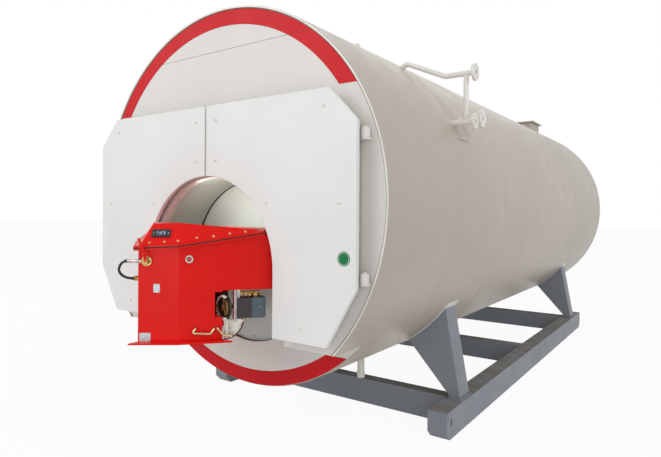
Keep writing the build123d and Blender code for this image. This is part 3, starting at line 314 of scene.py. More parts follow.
@dataclass(frozen=True)
class RolledPlate(Finish):
    """Hot-rolled boiler plate with its mill scale, darkened by flue gas where gas passes."""

    colour: str = "#5A5652"
    rust: str = "#6B4A36"
    scale_mm: float = 70.0  # span of a patch of mill scale
    pit_mm: float = 6.0
    pit_depth: float = 0.15

    def shade(self, tree: bpy.types.NodeTree, shader: bpy.types.Node) -> None:
        """Mottle the scale with rust, and roughen it."""
        where = add_node(tree, "ShaderNodeTexCoord").outputs["Object"]
        scale = add_node(tree, "ShaderNodeTexNoise", {
            "Vector": where, "Scale": MM / self.scale_mm, "Detail": 8.0,
        })
        bloom = add_node(tree, "ShaderNodeMapRange", {
            "Value": scale.outputs[0], FROM_LOW: 0.48, FROM_HIGH: 0.62,
        })
        colour = add_node(tree, "ShaderNodeMix", {
            FACTOR: bloom.outputs[0], COLOUR_A: linear(self.colour), COLOUR_B: linear(self.rust),
        }, data_type="RGBA")
        dull = add_node(tree, "ShaderNodeMapRange", {
            "Value": scale.outputs[0], TO_LOW: 0.45, TO_HIGH: 0.85,
        })
        pits = add_node(tree, "ShaderNodeTexNoise", {
            "Vector": where, "Scale": MM / self.pit_mm, "Detail": 4.0,
        })
        bump = add_node(tree, "ShaderNodeBump", {
            "Height": pits.outputs[0], "Distance": self.pit_depth / MM,
        })
        tree.links.new(colour.outputs[COLOUR_RESULT], shader.inputs["Base Color"])
        tree.links.new(dull.outputs[0], shader.inputs["Roughness"])
        tree.links.new(bump.outputs[0], shader.inputs["Normal"])
        shader.inputs["Metallic"].default_value = 0.4


@dataclass(frozen=True)
class Moulded(Finish):
    """Moulded plastic or extruded rubber: one colour right through, with a fine even grain."""

    colour: str = "#202020"
    paler: str = "#2C2C2C"
    roughness: float = 0.45
    grain_mm: float = 1.2
    grain_depth: float = 0.03
    bloom_mm: float = 40.0  # span of a patch of faint dust
    edge_mm: float = 1.0

    def shade(self, tree: bpy.types.NodeTree, shader: bpy.types.Node) -> None:
        """Add the grain and a faint bloom of dust."""
        where = add_node(tree, "ShaderNodeTexCoord").outputs["Object"]
        bloom = add_node(tree, "ShaderNodeTexNoise", {
            "Vector": where, "Scale": MM / self.bloom_mm, "Detail": 3.0,
        })
        colour = add_node(tree, "ShaderNodeMix", {
            FACTOR: bloom.outputs[0], COLOUR_A: linear(self.colour), COLOUR_B: linear(self.paler),
        }, data_type="RGBA")
        grain = add_node(tree, "ShaderNodeTexNoise", {"Vector": where, "Scale": MM / self.grain_mm})
        rounded = add_node(tree, "ShaderNodeBevel", {"Radius": self.edge_mm / MM}, samples=4)
        bump = add_node(tree, "ShaderNodeBump", {
            "Height": grain.outputs[0], "Distance": self.grain_depth / MM, "Normal": rounded.outputs[0],
        })
        tree.links.new(colour.outputs[COLOUR_RESULT], shader.inputs["Base Color"])
        tree.links.new(bump.outputs[0], shader.inputs["Normal"])
        shader.inputs["Roughness"].default_value = self.roughness


@dataclass(frozen=True)
class BackedGlass(Finish):
    """Polished window with a dark or coloured back, which gives one hard clear reflection."""

    colour: str = "#27324A"
    paler: str = "#7C8CA8"
    band_mm: float = 14.0

    def shade(self, tree: bpy.types.NodeTree, shader: bpy.types.Node) -> None:
        """Let a soft cloudy band show behind a hard polished face."""
        where = add_node(tree, "ShaderNodeTexCoord").outputs["Object"]
        cloud = add_node(tree, "ShaderNodeTexNoise", {
            "Vector": where, "Scale": MM / self.band_mm, "Detail": 1.0,
        })
        spread = add_node(tree, "ShaderNodeMapRange", {
            "Value": cloud.outputs[0], FROM_LOW: 0.45, FROM_HIGH: 0.6,
        })
        colour = add_node(tree, "ShaderNodeMix", {
            FACTOR: spread.outputs[0], COLOUR_A: linear(self.colour), COLOUR_B: linear(self.paler),
        }, data_type="RGBA")
        tree.links.new(colour.outputs[COLOUR_RESULT], shader.inputs["Base Color"])
        shader.inputs["Roughness"].default_value = 0.12
        shader.inputs["Coat Weight"].default_value = 1.0
        shader.inputs["Coat Roughness"].default_value = 0.02


# Warm grey machine enamel on the rolled jacket: long soft reflections that waver with the sheet
JACKET_ENAMEL = PaintedSteel("jacket_enamel", "#C0B5A6", "#B9AEA0", 1400.0, (0.32, 0.42), specular=0.25,
                             peel_depth=0.012, wave_depth=0.25)
# The same enamel in off-white on the flat front: satin, with the faintest waves between the stays
FRONT_ENAMEL = PaintedSteel("front_enamel", "#E6E2DA", "#E1DDD5", 700.0, (0.32, 0.44), wave_depth=0.3)
# The door covers, a little whiter and cleaner
COVER_ENAMEL = PaintedSteel("cover_enamel", "#ECECE7", "#E6E6E1", 700.0, (0.3, 0.42), wave_depth=0.3)
# Off-white of small fittings; on the jacket's front edge it is a painted highlight, for that edge has the
# jacket's own paint
FITTING_ENAMEL = PaintedSteel("fitting_enamel", "#F2EFE6", "#E9E5DB", 200.0, (0.28, 0.4), wave_depth=0.0)
# Signal red enamel of the two bands
BAND_ENAMEL = PaintedSteel("band_enamel", "#D41820", "#CA141C", 500.0, (0.28, 0.38), specular=0.15,
                           wave_depth=0.3)
# Light grey primer inside the recess, duller; its colour is painted lighter and greener than the primer's
# own, to offset the recess's shade and the red light bounced off the burner
INNER_PRIMER_PAINTED_LIGHT = PaintedSteel("inner_primer_painted_light", "#B8C0B3", "#ABB3A7", 260.0, (0.5, 0.66), specular=0.2,
                            wave_depth=0.5)
# Paler primer of the plate behind the burner
PLATE_PRIMER = PaintedSteel("plate_primer", "#D2D9CF", "#C9D0C6", 300.0, (0.45, 0.6), specular=0.2,
                            wave_depth=0.3)
# Blue-grey primer on the hot-rolled skid: dull, dusty on top and rubbed along its edges
SKID_PRIMER = PaintedSteel("skid_primer", "#848A93", "#8A8E92", 600.0, (0.42, 0.58), peel_mm=9.0,
                           peel_depth=0.08, wave_depth=0.2, edge_mm=4.0, dust="#7E766A", wear="#868A8E")
# Bright red powder coat on the burner's folded sheet: high gloss over a fine orange peel
BURNER_COAT = PaintedSteel("burner_powder_coat", "#E6180E", "#DE140C", 300.0, (0.26, 0.36), specular=0.16,
                           peel_mm=5.0, peel_depth=0.02, wave_mm=240.0, wave_depth=0.4)
# Green printed disc with a satin lacquer
BADGE_LACQUER = PaintedSteel("badge_lacquer", "#0E7A45", "#0C703E", 40.0, (0.3, 0.4), peel_depth=0.0,
                             wave_depth=0.0, edge_mm=0.5)
# Turned and cast brass, half tarnished, warm with brown hollows
TURNED_BRASS = PlainMetal("turned_brass", "#CDAE72", "#94713F", 14.0, (0.28, 0.5))
# Paler drawn brass of the oil pipes
DRAWN_BRASS = PlainMetal("drawn_brass", "#D8C49C", "#B79E70", 30.0, (0.28, 0.42))
# Clear zinc plate with its faint yellow cast
ZINC_PLATE = PlainMetal("zinc_plate", "#CFCDC4", "#A9A594", 22.0, (0.3, 0.5))
# Yellow passivated zinc of the small screws
YELLOW_ZINC = PlainMetal("yellow_zinc", "#E2D08C", "#B9A25C", 10.0, (0.3, 0.5))
# Drawn steel pipe with a pinkish cast from copper plating that shines through
DRAWN_STEEL = PlainMetal("drawn_steel", "#CBB9B6", "#A8989A", 30.0, (0.22, 0.36), (1.0, 1.0, 0.2))
# Brushed anodised aluminium of the bare data plates
ANODISED_SHEET = PlainMetal("anodised_sheet", "#BFC3C8", "#A4A9B0", 9.0, (0.35, 0.5), (0.15, 0.15, 3.0), 1.2)
# Boiler plate behind the doors
BOILER_PLATE = RolledPlate("hot_rolled_plate")
# Dark glass-filled nylon of the bezel, grained; also the painted shade sheets in the housing's notch
BEZEL_NYLON = Moulded("bezel_nylon", "#17181B", "#232428", 0.38)
# Brown-grey lower shell of the servo motor
SERVO_SHELL = Moulded("servo_shell_plastic", "#2C2226", "#35292E", 0.36)
# Blue-grey cover of the servo motor, with a soft sheen
SERVO_COVER = Moulded("servo_cover_plastic", "#42525A", "#4E5F67", 0.3)
# White nylon heads of the cam's adjusting screws
WHITE_NYLON = Moulded("white_nylon", "#E9E7E2", "#D8D5CE", 0.4)
# Orange sealing lacquer on a few of them
ORANGE_LACQUER = Moulded("orange_lacquer", "#D9632B", "#C5511F", 0.35)
# Extruded hose rubber, nearly black with a soft broad highlight
HOSE_RUBBER = Moulded("extruded_rubber", "#121214", "#1E1E20", 0.42, 1.6, 0.05)
# Blued steel of the cam disc
BLUED_STEEL = PlainMetal("blued_steel", "#55504E", "#3A3634", 12.0, (0.35, 0.5))
# Dark red lacquer of the quadrant's rim
DARK_LACQUER = Moulded("dark_lacquer", "#5A1A18", "#6B2320", 0.35)
# Black woven rope gasket; also the painted shade of the jacket's slit
GASKET_ROPE = Moulded("graphite_rope", "#1B1A19", "#2A2826", 0.8, 3.0, 0.4)
# Soot in the tubes; on the flat discs that close most tube ends it is also painted shade of the bore's depth
SOOT = Moulded("soot", "#0C0B0A", "#171513", 0.95, 5.0, 0.4)
# Bluish window of the display
DISPLAY_GLASS = BackedGlass("display_glass", "#1F2838", "#8A96AE", 16.0)
# Red-tinted sight glass, which shows the burner's own colour
SIGHT_GLASS = BackedGlass("sight_glass", "#C8201A", "#8E1511", 20.0)


@dataclass
class Shape:
    """Points and faces that are joined before they become one piece."""

    points: list[Vector] = field(default_factory=list)
    faces: list[tuple[int, ...]] = field(default_factory=list)
    finishes: list[int] = field(default_factory=list)

    def add(self, other: "Shape", place: Matrix | None = None, finish: int = 0) -> "Shape":
        """Join a copy of another shape.

        Args:
            other: The shape that is copied.
            place: Where the copy goes.
            finish: Number of the finish that its faces take.

        Returns:
            This shape, so that calls can be chained.
        """
        move = place or Matrix()
        base = len(self.points)
        self.points += [move @ point for point in other.points]
        self.faces += [tuple(base + i for i in face) for face in other.faces]
        self.finishes += [finish] * len(other.faces)
        return self

    def both_sides(self) -> "Shape":
        """Add the shape's mirror image on the left-hand side."""
        twin = Shape(list(self.points), list(self.faces), list(self.finishes))
        finishes = list(self.finishes)
        self.add(twin, MIRROR)
        self.finishes = finishes * 2
        return self

    def piece(self, name: str, finishes: Finish | Sequence[Finish], body: Body = Body.ROOT,
              slot: Slot | None = None, sharp: float = 38.0) -> bpy.types.Object:
        """Make the shape's mesh and object.

        Args:
            name: Name of the piece.
            finishes: Its finish, or its finishes in order of their numbers.
            body: Body that it rides on.
            slot: Material slot of the record that the piece matches; it is not used.
            sharp: Degrees from which an edge is drawn sharp.

        Returns:
            The new object.
        """
        mesh = bpy.data.meshes.new(name)
        mesh.from_pydata([DATUM.world(point) for point in self.points], [], self.faces)
        mesh.polygons.foreach_set("material_index", self.finishes)
        work = bmesh.new()
        work.from_mesh(mesh)
        bmesh.ops.recalc_face_normals(work, faces=work.faces)
        work.to_mesh(mesh)
        work.free()
        for finish in [finishes] if isinstance(finishes, Finish) else finishes:
            mesh.materials.append(finish.material())
        mesh.shade_smooth()
        mesh.set_sharp_from_angle(angle=radians(sharp))
        made = bpy.data.objects.new(name, mesh)
        bpy.context.scene.collection.objects.link(made)
        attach(made, body.value)
        LOG.info("%s: %d faces on %s", name, len(mesh.polygons), body.value)
        return made


def dress(finish: Finish, *nodes: str) -> None:
    """Give CAD nodes a finish."""
    for name in nodes:
        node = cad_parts[name]
        if not node.material_slots:
            node.data.materials.append(finish.material())
        for holder in node.material_slots:
            holder.material = finish.material()
        LOG.info("%s: %s", name, finish.name)


def axes(origin: Sequence[float], x: Sequence[float], y: Sequence[float], z: Sequence[float]) -> Matrix:
    """Give the place whose own directions are three directions of the boiler."""
    rows = [(x[i], y[i], z[i], origin[i]) for i in range(3)]
    return Matrix((*rows, (0.0, 0.0, 0.0, 1.0)))


def facing_front(x: float, y: float, z: float) -> Matrix:
    """Give a place whose z looks to the front."""
    return axes((x, y, z), (1, 0, 0), (0, 0, 1), (0, -1, 0))


def facing_back(x: float, y: float, z: float) -> Matrix:
    """Give a place whose z looks to the back."""
    return axes((x, y, z), (-1, 0, 0), (0, 0, 1), (0, 1, 0))


def facing_right(x: float, y: float, z: float) -> Matrix:
    """Give a place whose z looks to the right."""
    return axes((x, y, z), (0, 1, 0), (0, 0, 1), (1, 0, 0))


def facing_up(x: float, y: float, z: float) -> Matrix:
    """Give a place whose z looks up."""
    return Matrix.Translation((x, y, z))


@dataclass(frozen=True)
class Wall:
    """Upright burner wall between two corners of its plan."""

    start: Pair
    end: Pair

    def place(self, along: float, z: float, out: float = 0.0) -> Matrix:
        """Give a place on the wall: x runs along it, y up and z out of it."""
        run = Vector((self.end[0] - self.start[0], self.end[1] - self.start[1], 0.0)).normalized()
        face = Vector((run.y, -run.x, 0.0))
        origin = Vector((self.start[0], self.start[1], z)) + run * along + face * out
        return axes(origin, run, (0, 0, 1), face)

    def point(self, along: float, z: float, out: float = 0.0) -> Vector:
        """Give a point on the wall, or ahead of it."""
        return self.place(along, z, out).translation


def circle(radius: float, sides: int, z: float = 0.0, start: float = 0.0,
           turn: float = 360.0) -> list[Vector]:
    """Give points on a circle or an arc about z, from a start angle and over a turn in degrees."""
    last = sides if turn == 360.0 else sides - 1
    steps = [radians(start + turn * i / last) for i in range(sides)]
    return [Vector((radius * cos(a), radius * sin(a), z)) for a in steps]


def hexagon(radius: float) -> list[Pair]:
    """Give the outline of a nut whose corners stand at a radius."""
    return [(corner.x, corner.y) for corner in circle(radius, 6)]


def inset(outline: Sequence[Pair], amount: float) -> list[Pair]:
    """Move each corner of an anticlockwise outline inwards along its bisector."""
    moved = []
    count = len(outline)
    for i, here in enumerate(outline):
        before = Vector(here) - Vector(outline[i - 1])
        after = Vector(outline[(i + 1) % count]) - Vector(here)
        one = Vector((-before.y, before.x)).normalized()
        two = Vector((-after.y, after.x)).normalized()
        shift = (one + two) * (amount / (1 + one.dot(two)))
        moved.append((here[0] + shift.x, here[1] + shift.y))
    return moved


def rounded_rectangle(width: float, height: float, corner: float, steps: int = 5) -> list[Pair]:
    """Give an anticlockwise rectangle with round corners about the origin."""
    outline = []
    for quarter, (sx, sy) in enumerate(((1, 1), (-1, 1), (-1, -1), (1, -1))):
        for i in range(steps):
            a = radians(90 * (quarter + i / (steps - 1)))
            x, y = sx * (width / 2 - corner), sy * (height / 2 - corner)
            outline.append((x + corner * cos(a), y + corner * sin(a)))
    return outline


def plate(outline: Sequence[Pair], depth: float, bevel: float = 0.0) -> Shape:
    """Give an upright prism over an anticlockwise outline, with its upper edge bevelled."""
    levels = [(outline, 0.0), (outline, depth - bevel)]
    if bevel:
        levels.append((inset(outline, bevel), depth))
    count = len(outline)
    made = Shape([Vector((x, y, z)) for ring, z in levels for x, y in ring])
    for level in range(len(levels) - 1):
        base = level * count
        for i in range(count):
            j = (i + 1) % count
            made.faces.append((base + i, base + j, base + count + j, base + count + i))
    made.faces.append(tuple(reversed(range(count))))
    made.faces.append(tuple(range(count * (len(levels) - 1), count * len(levels))))
    made.finishes = [0] * len(made.faces)
    return made


def between(first: float, last: float, parts: int) -> list[float]:
    """Give even steps from one value to another, both ends included."""
    return [first + (last - first) * i / parts for i in range(parts + 1)]


def arc_strip(low: float, high: float, first: float, last: float, depth: float) -> Shape:
    """Give a flat strip about the origin along an arc, from one angle to another in radians."""
    steps = between(first, last, 160)
    outline = [(high * cos(a), high * sin(a)) for a in steps]
    outline += [(low * cos(a), low * sin(a)) for a in reversed(steps)]
    return plate(outline, depth)


def lathe(profile: Sequence[Pair], sides: int = 24) -> Shape:
    """Give a profile of (radius, height) points turned about z. A radius of 0 closes an end to a point."""
    made = Shape()
    rings = []
    for radius, z in profile:
        if radius <= 0:
            rings.append([len(made.points)] * sides)
            made.points.append(Vector((0, 0, z)))
        else:
            rings.append(list(range(len(made.points), len(made.points) + sides)))
            made.points += circle(radius, sides, z)
    for lower, upper in zip(rings, rings[1:]):
        for i in range(sides):
            j = (i + 1) % sides
            corners = dict.fromkeys((lower[i], lower[j], upper[j], upper[i]))
            made.faces.append(tuple(corners))
    made.finishes = [0] * len(made.faces)
    return made


def hoop(profile: Sequence[Pair], sides: int = 24) -> Shape:
    """Give a closed profile of (radius, height) points turned about z, such as a washer."""
    made = lathe([*profile, profile[0]], sides)
    count = len(profile) * sides
    made.points = made.points[:count]
    made.faces = [tuple(i % count for i in face) for face in made.faces]
    return made


def tube(path: Sequence[Vector], radius: float, sides: int = 12, ripple: float = 0.0,
         closed: bool = False) -> Shape:
    """Give a round bar along a path.

    Args:
        path: Points of its centre line.
        radius: Its radius.
        sides: Sides of its section.
        ripple: Share by which every other section is thinner, as on a weld bead.
        closed: Whether the path's end joins its start.

    Returns:
        The bar, with its ends closed unless it is a loop.
    """
    made = Shape()
    count = len(path)
    ahead = []
    for i in range(count):
        after = path[(i + 1) % count if closed else min(i + 1, count - 1)]
        before = path[i - 1 if closed or i else 0]
        ahead.append((after - before).normalized())
    side = ahead[0].orthogonal().normalized()
    for i, (point, direction) in enumerate(zip(path, ahead)):
        side = (side - direction * side.dot(direction)).normalized()
        other = direction.cross(side)
        size = radius * (1 - ripple * (i % 2))
        for a in [2 * pi * k / sides for k in range(sides)]:
            made.points.append(point + side * (size * cos(a)) + other * (size * sin(a)))
    for i in range(count if closed else count - 1):
        low, high = i * sides, (i + 1) % count * sides
        for k in range(sides):
            m = (k + 1) % sides
            made.faces.append((low + k, low + m, high + m, high + k))
    if not closed:
        made.faces.append(tuple(reversed(range(sides))))
        made.faces.append(tuple(range((count - 1) * sides, count * sides)))
    made.finishes = [0] * len(made.faces)
    return made


def spaced(path: Sequence[Vector], step: float) -> list[Vector]:
    """Give points at even steps along straight runs."""
    points = [path[0]]
    for start, end in zip(path, path[1:]):
        runs = max(1, round((end - start).length / step))
        points += [start.lerp(end, i / runs) for i in range(1, runs + 1)]
    return points


def bead(path: Sequence[Vector], width: float = 4.0, closed: bool = False) -> Shape:
    """Give a weld bead along a path, with a ripple at each pass of the torch."""
    ends = [*path, path[0]] if closed else list(path)
    points = spaced(ends, width)
    return tube(points[:-1] if closed else points, width, 8, 0.14, closed)


def hex_bolt(size: float) -> Shape:
    """Give a hexagon head on its washer, for a thread of a size, standing on z 0."""
    washer = lathe([(0, 0), (size * 1.1, 0), (size * 1.1, size * 0.16), (0, size * 0.16)], 20)
    head = plate(hexagon(size * 0.866), size * 0.65, size * 0.08)
    return Shape().add(washer).add(head, facing_up(0, 0, size * 0.15))


def domed_screw(radius: float) -> Shape:
    """Give a flanged dome head with a hexagon socket, standing on z 0."""
    return lathe([
        (0, 0), (radius, 0), (radius, radius * 0.12), (radius * 0.78, radius * 0.2),
        (radius * 0.7, radius * 0.42), (radius * 0.5, radius * 0.58), (radius * 0.3, radius * 0.64),
        (radius * 0.26, radius * 0.36), (0, radius * 0.34),
    ], 20)


def bolt_ring(bolt: Shape, radius: float, count: int, place: Matrix, start: float = 0.0) -> Shape:
    """Give bolts at even angles on a circle about a place's z."""
    ring = Shape()
    for point in circle(radius, count, 0.0, start):
        ring.add(bolt, place @ Matrix.Translation(point))
    return ring


@dataclass
class Casing:
    """Insulated jacket in rings, with its closed back."""

    radius: float = DATUM.casing_r
    seams: tuple[float, ...] = (835.0, 1750.0)
    seam_w: float = 3.0
    seam_h: float = 0.6
    slit_z: float = 402.0
    slit_ys: Pair = (995.0, 1185.0)
    slit_r: float = 1.4
    rim_y: float = -6.0
    rim_radii: Pair = (1089.5, 1099.0)
    highlight_t: float = 0.8
    cover_y: float = 5920.0
    cover_bolt_r: float = 262.0
    cover_bolts: int = 12
    cover_thread: float = 12.0
    handle_half: float = 60.0
    handle_out: float = 34.0
    handle_corner: float = 8.0
    handle_r: float = 6.0
    handle_rise: float = 120.0  # each handle's distance from the cover's centre

    def build(self) -> None:
        """Dress the rings and add seams, the painted highlight on the front edge and what closes the back."""
        rings = [f"casing_ring_{name}" for name in ("front", "second", "third", "rear")]
        dress(JACKET_ENAMEL, *rings, "smokebox_wall", "rear_end_plate", "rear_access_cover")
        self.joints().piece("jacket_joints", JACKET_ENAMEL, slot=Slot.CASING)
        # off-white strip on the jacket's rim: painted highlight on the front edge
        self.rim_highlight().piece("front_edge_painted_highlight", FITTING_ENAMEL, slot=Slot.CASING)
        # black tube on the jacket: painted shade of the slit's opening
        self.slit().both_sides().piece("jacket_slits", GASKET_ROPE)
        self.back_bolts().piece("rear_cover_bolts", ZINC_PLATE, slot=Slot.ZINC)
        self.back_handles().piece("rear_cover_handles", FITTING_ENAMEL, slot=Slot.CASING)

    def joints(self) -> Shape:
        """Give the lapped joint round the jacket at each seam."""
        half, low, top = self.seam_w / 2, self.radius - 1, self.radius + self.seam_h
        lap = hoop([(low, -half), (top, -half / 2), (top, half / 2), (low, half)], 192)
        made = Shape()
        for y in self.seams:
            made.add(lap, facing_back(0, y, 0))
        return made

    def rim_highlight(self) -> Shape:
        """Give the off-white strip round the front edge: a painted highlight, for the jacket's rim has the
        jacket's own paint.
        """
        low, high = self.rim_radii
        foot = asin(SMOKEBOX_FLOOR_Z / high)
        strip = arc_strip(low, high, foot, pi - foot, self.highlight_t)
        return Shape().add(strip, facing_front(0, self.rim_y, 0))

    def slit(self) -> Shape:
        """Give the dark slit low beside the right-hand gauge pipe: a black tube on the jacket, painted shade
        that stands in for the slit's opening.
        """
        x = sqrt(self.radius ** 2 - self.slit_z ** 2)
        return tube([Vector((x, y, self.slit_z)) for y in self.slit_ys], self.slit_r, 8)

    def back_bolts(self) -> Shape:
        """Give the bolts of the rear access cover."""
        cover = facing_back(0, self.cover_y, RECESS_Z)
        return bolt_ring(hex_bolt(self.cover_thread), self.cover_bolt_r, self.cover_bolts, cover)

    def back_handles(self) -> Shape:
        """Give the two bent-rod handles of the rear access cover."""
        half, out, corner = self.handle_half, self.handle_out, self.handle_corner
        ends = [(-half, 0), (-half, out - corner), (corner - half, out)]
        rod = [Vector((x, 0, z)) for x, z in ends + [(-x, z) for x, z in reversed(ends)]]
        made = Shape()
        for rise in (-self.handle_rise, self.handle_rise):
            made.add(tube(rod, self.handle_r, 12), facing_back(0, self.cover_y, RECESS_Z + rise))
        return made


@dataclass
class Doors:
    """Two hinged smokebox doors and their sheet covers."""

    face: float = -101.0
    leaf_back: float = -5.0
    slit: float = 6.0
    half_w: float = 987.0
    top: float = 534.0
    bottom: float = -687.0
    upper_chamfer: Pair = (153.0, 165.0)
    lower_chamfer: Pair = (164.0, 286.0)
    arch_r: float = 495.0
    stays: tuple[Pair, ...] = ((82, 451), (82, 231), (804, 450), (451, -6), (893, -7), (675, -613))
    screw_r: float = 10.0
    badge_at: Pair = (922.0, -263.0)
    badge_r: float = 34.0
    badge_t: float = 0.9
    badge_line: Pair = (0.8, 0.86)  # the pale ring's shares of the radius
    gasket_inset: float = 58.0
    gasket_r: float = 2.3
    gasket_past_slit: float = 22.0
    gasket_past_arch: float = 20.0
    hinge_zs: Pair = (316.0, -352.0)
    hinge_x: float = 994.0
    strap_bolts_in: Pair = (60.0, 105.0)  # from the hinge's pin
    strap_thread: float = 8.0
    strap_face: float = -49.0

    def build(self) -> None:
        """Dress both doors and add what is fastened to them."""
        pairs = ("door_leaf", "hinge_barrels", "hinge_brackets")
        dress(FRONT_ENAMEL, *[f"{name}_{side}" for name in pairs for side in RIGHT_AND_LEFT])
        dress(COVER_ENAMEL, "door_cover_right", "door_cover_left")
        for side, body, turn in (("right", Body.RIGHT_DOOR, Matrix()), ("left", Body.LEFT_DOOR, MIRROR)):
            self.screws(turn).piece(f"cover_screws_{side}", FITTING_ENAMEL, body, Slot.FRONT)
            self.gasket(turn).piece(f"door_gasket_{side}", GASKET_ROPE, body)
            self.strap_bolts(turn).piece(f"hinge_strap_bolts_{side}", ZINC_PLATE, body, Slot.ZINC)
        self.badge().piece("badge_disc", (BADGE_LACQUER, FITTING_ENAMEL), Body.RIGHT_DOOR)

    def screws(self, turn: Matrix) -> Shape:
        """Give the domed screws that hold the cover to its stays."""
        made = Shape()
        for x, z in self.stays:
            made.add(domed_screw(self.screw_r), turn @ facing_front(x, self.face, z))
        return made

    def outline(self, inside: float, gap: float, arch: float) -> list[Pair]:
        """Give the right door's outline: inside the cover's edge, beside a gap and round the arch."""
        corners = [
            (self.half_w - self.lower_chamfer[0], self.bottom),
            (self.half_w, self.bottom + self.lower_chamfer[1]),
            (self.half_w, self.top - self.upper_chamfer[1]),
            (self.half_w - self.upper_chamfer[0], self.top),
        ]
        whole = corners + [(-x, z) for x, z in reversed(corners)]
        right = inset(whole, inside)[:4]
        curve = [(arch * cos(a), RECESS_Z + arch * sin(a)) for a in between(0.0, acos(gap / arch), 24)]
        return [(arch, right[0][1]), *right, (gap, right[3][1]), *reversed(curve)]

    def gasket(self, turn: Matrix) -> Shape:
        """Give the rope gasket behind the leaf's edge."""
        beside, above = self.slit + self.gasket_past_slit, self.arch_r + self.gasket_past_arch
        loop = self.outline(self.gasket_inset, beside, above)
        path = spaced([Vector((x, self.leaf_back + self.gasket_r, z)) for x, z in [*loop, loop[0]]], 24.0)
        return Shape().add(tube(path[:-1], self.gasket_r, 8, closed=True), turn)

    def strap_bolts(self, turn: Matrix) -> Shape:
        """Give the bolts that hold each hinge strap to the leaf."""
        made = Shape()
        for z in self.hinge_zs:
            for inwards in self.strap_bolts_in:
                place = facing_front(self.hinge_x - inwards, self.strap_face, z)
                made.add(hex_bolt(self.strap_thread), turn @ place)
        return made

    def badge(self) -> Shape:
        """Give the plain green disc with its pale ring."""
        top = self.badge_t
        disc = lathe([(0, 0), (self.badge_r, 0), (self.badge_r - 0.4, top), (0, top)], 48)
        low, high = [self.badge_r * share for share in self.badge_line]
        line = hoop([(low, top - 0.1), (high, top - 0.1), (high, top + 0.2), (low, top + 0.2)], 48)
        place = facing_front(self.badge_at[0], self.face, self.badge_at[1])
        return Shape().add(disc, place).add(line, place, 1)


@dataclass
class SmokeboxFront:
    """Front plate with its bands, and the burner's recess."""

    burner_plate_y: float = 290.0
    bolt_r: float = 465.0
    bolts: int = 18
    bolt_thread: float = 8.0
    bolt_start: float = 12.0
    neck_flange_r: float = 190.0
    neck_r: float = 166.0
    neck_flange_t: float = 14.0
    neck_flange_edge: float = 1.5
    collar_radii: Pair = (488.6, 494.6)
    collar_y: float = 275.0
    collar_foot: float = -396.0
    collar_t: float = 4.0

    def build(self) -> None:
        """Dress the plates and add the recess's bolts and flange."""
        dress(FRONT_ENAMEL, "front_plate", "front_top_panel", "lower_front_plate")
        dress(PLATE_PRIMER, "burner_plate")
        dress(BAND_ENAMEL, "upper_red_band", "lower_red_band")
        # the recess's sheets take the primer painted lighter and greener: painted light
        dress(INNER_PRIMER_PAINTED_LIGHT, "recess_wall", "smokebox_floor", "panel_joint_rail", "burner_neck")
        plate_face = facing_front(0, self.burner_plate_y, RECESS_Z)
        bolts = bolt_ring(hex_bolt(self.bolt_thread), self.bolt_r, self.bolts, plate_face, self.bolt_start)
        bolts.piece("burner_plate_bolts", PLATE_PRIMER, slot=Slot.FRONT)
        self.neck_flange(plate_face).piece("neck_flange", INNER_PRIMER_PAINTED_LIGHT, slot=Slot.INNER)
        self.collar().piece("recess_collar", INNER_PRIMER_PAINTED_LIGHT, slot=Slot.INNER)

    def collar(self) -> Shape:
        """Give the pale collar that closes the recess's back end round the burner plate."""
        low, high = self.collar_radii
        foot = asin(self.collar_foot / high)
        strip = arc_strip(low, high, foot, pi - foot, self.collar_t)
        return Shape().add(strip, facing_front(0, self.collar_y, RECESS_Z))

    def neck_flange(self, place: Matrix) -> Shape:
        """Give the flange between the burner's neck and its plate."""
        low, high, depth, edge = self.neck_r, self.neck_flange_r, self.neck_flange_t, self.neck_flange_edge
        ring = hoop([(low, 0), (high, 0), (high, depth - edge), (high - edge, depth), (low, depth)], 72)
        return Shape().add(ring, place)


@dataclass
class TubeField:
    """Smoke tubes that end in the front tube plate."""

    plate_y: float = 275.0
    plate_r: float = 1060.0
    recess_r: float = 503.0
    pitch: float = 110.0
    first_x: float = 85.0
    columns: int = 10
    rows: Sequence[int] = range(-7, 10)
    hole_columns: Pair = (635.0, 745.0)
    hole_rows: Triple = (-110.0, 0.0, 110.0)
    tube_r: float = 38.0
    wall: float = 3.6
    roll: float = 3.5  # the rolled rim's width outside the tube
    depth: float = 380.0  # how far a bore runs into its tube
    margin: float = 52.0

    def build(self) -> None:
        """Dress the drum and add the tube ends."""
        dress(BOILER_PLATE, "front_tube_plate", "rear_tube_plate", "drum_shell")
        self.ends().both_sides().piece("tube_ends", (BOILER_PLATE, SOOT), slot=Slot.PLATE)

    def stands_clear(self, x: float, z: float) -> bool:
        """Tell whether a tube fits between the shell, the recess and the floor."""
        in_shell = hypot(x, z) < self.plate_r - self.margin
        below_arch = z < RECESS_Z and x < self.recess_r + self.margin
        in_arch = hypot(x, z - RECESS_Z) < self.recess_r + self.margin
        return in_shell and not below_arch and not in_arch and z > SMOKEBOX_FLOOR_Z + self.margin

    def ends(self) -> Shape:
        """Give the right-hand tube ends: rolled rims, dark inside; most ends are closed by a flat soot-black
        disc, which is soot and painted shade of the bore's depth.
        """
        inner, outer = self.tube_r - self.wall, self.tube_r + self.roll
        rim = hoop([(outer, 0), (outer - 1.5, 2.5), (inner + 1, 4.5), (inner, 3), (inner, 0)], 24)
        # flat dark disc just inside the rim: soot plus painted shade of the tube's depth
        mouth = lathe([(0, 0.6), (inner, 0.6)], 24)
        bore = lathe([(inner, 2.0), (inner, -self.depth), (0, -self.depth)], 24)
        made = Shape()
        for column in range(self.columns):
            for row in self.rows:
                x, z = self.first_x + column * self.pitch, row * self.pitch
                if self.stands_clear(x, z):
                    place = facing_front(x, self.plate_y, z)
                    real = x in self.hole_columns and z in self.hole_rows
                    made.add(rim, place)
                    made.add(bore if real else mouth, place, 1)
        return made


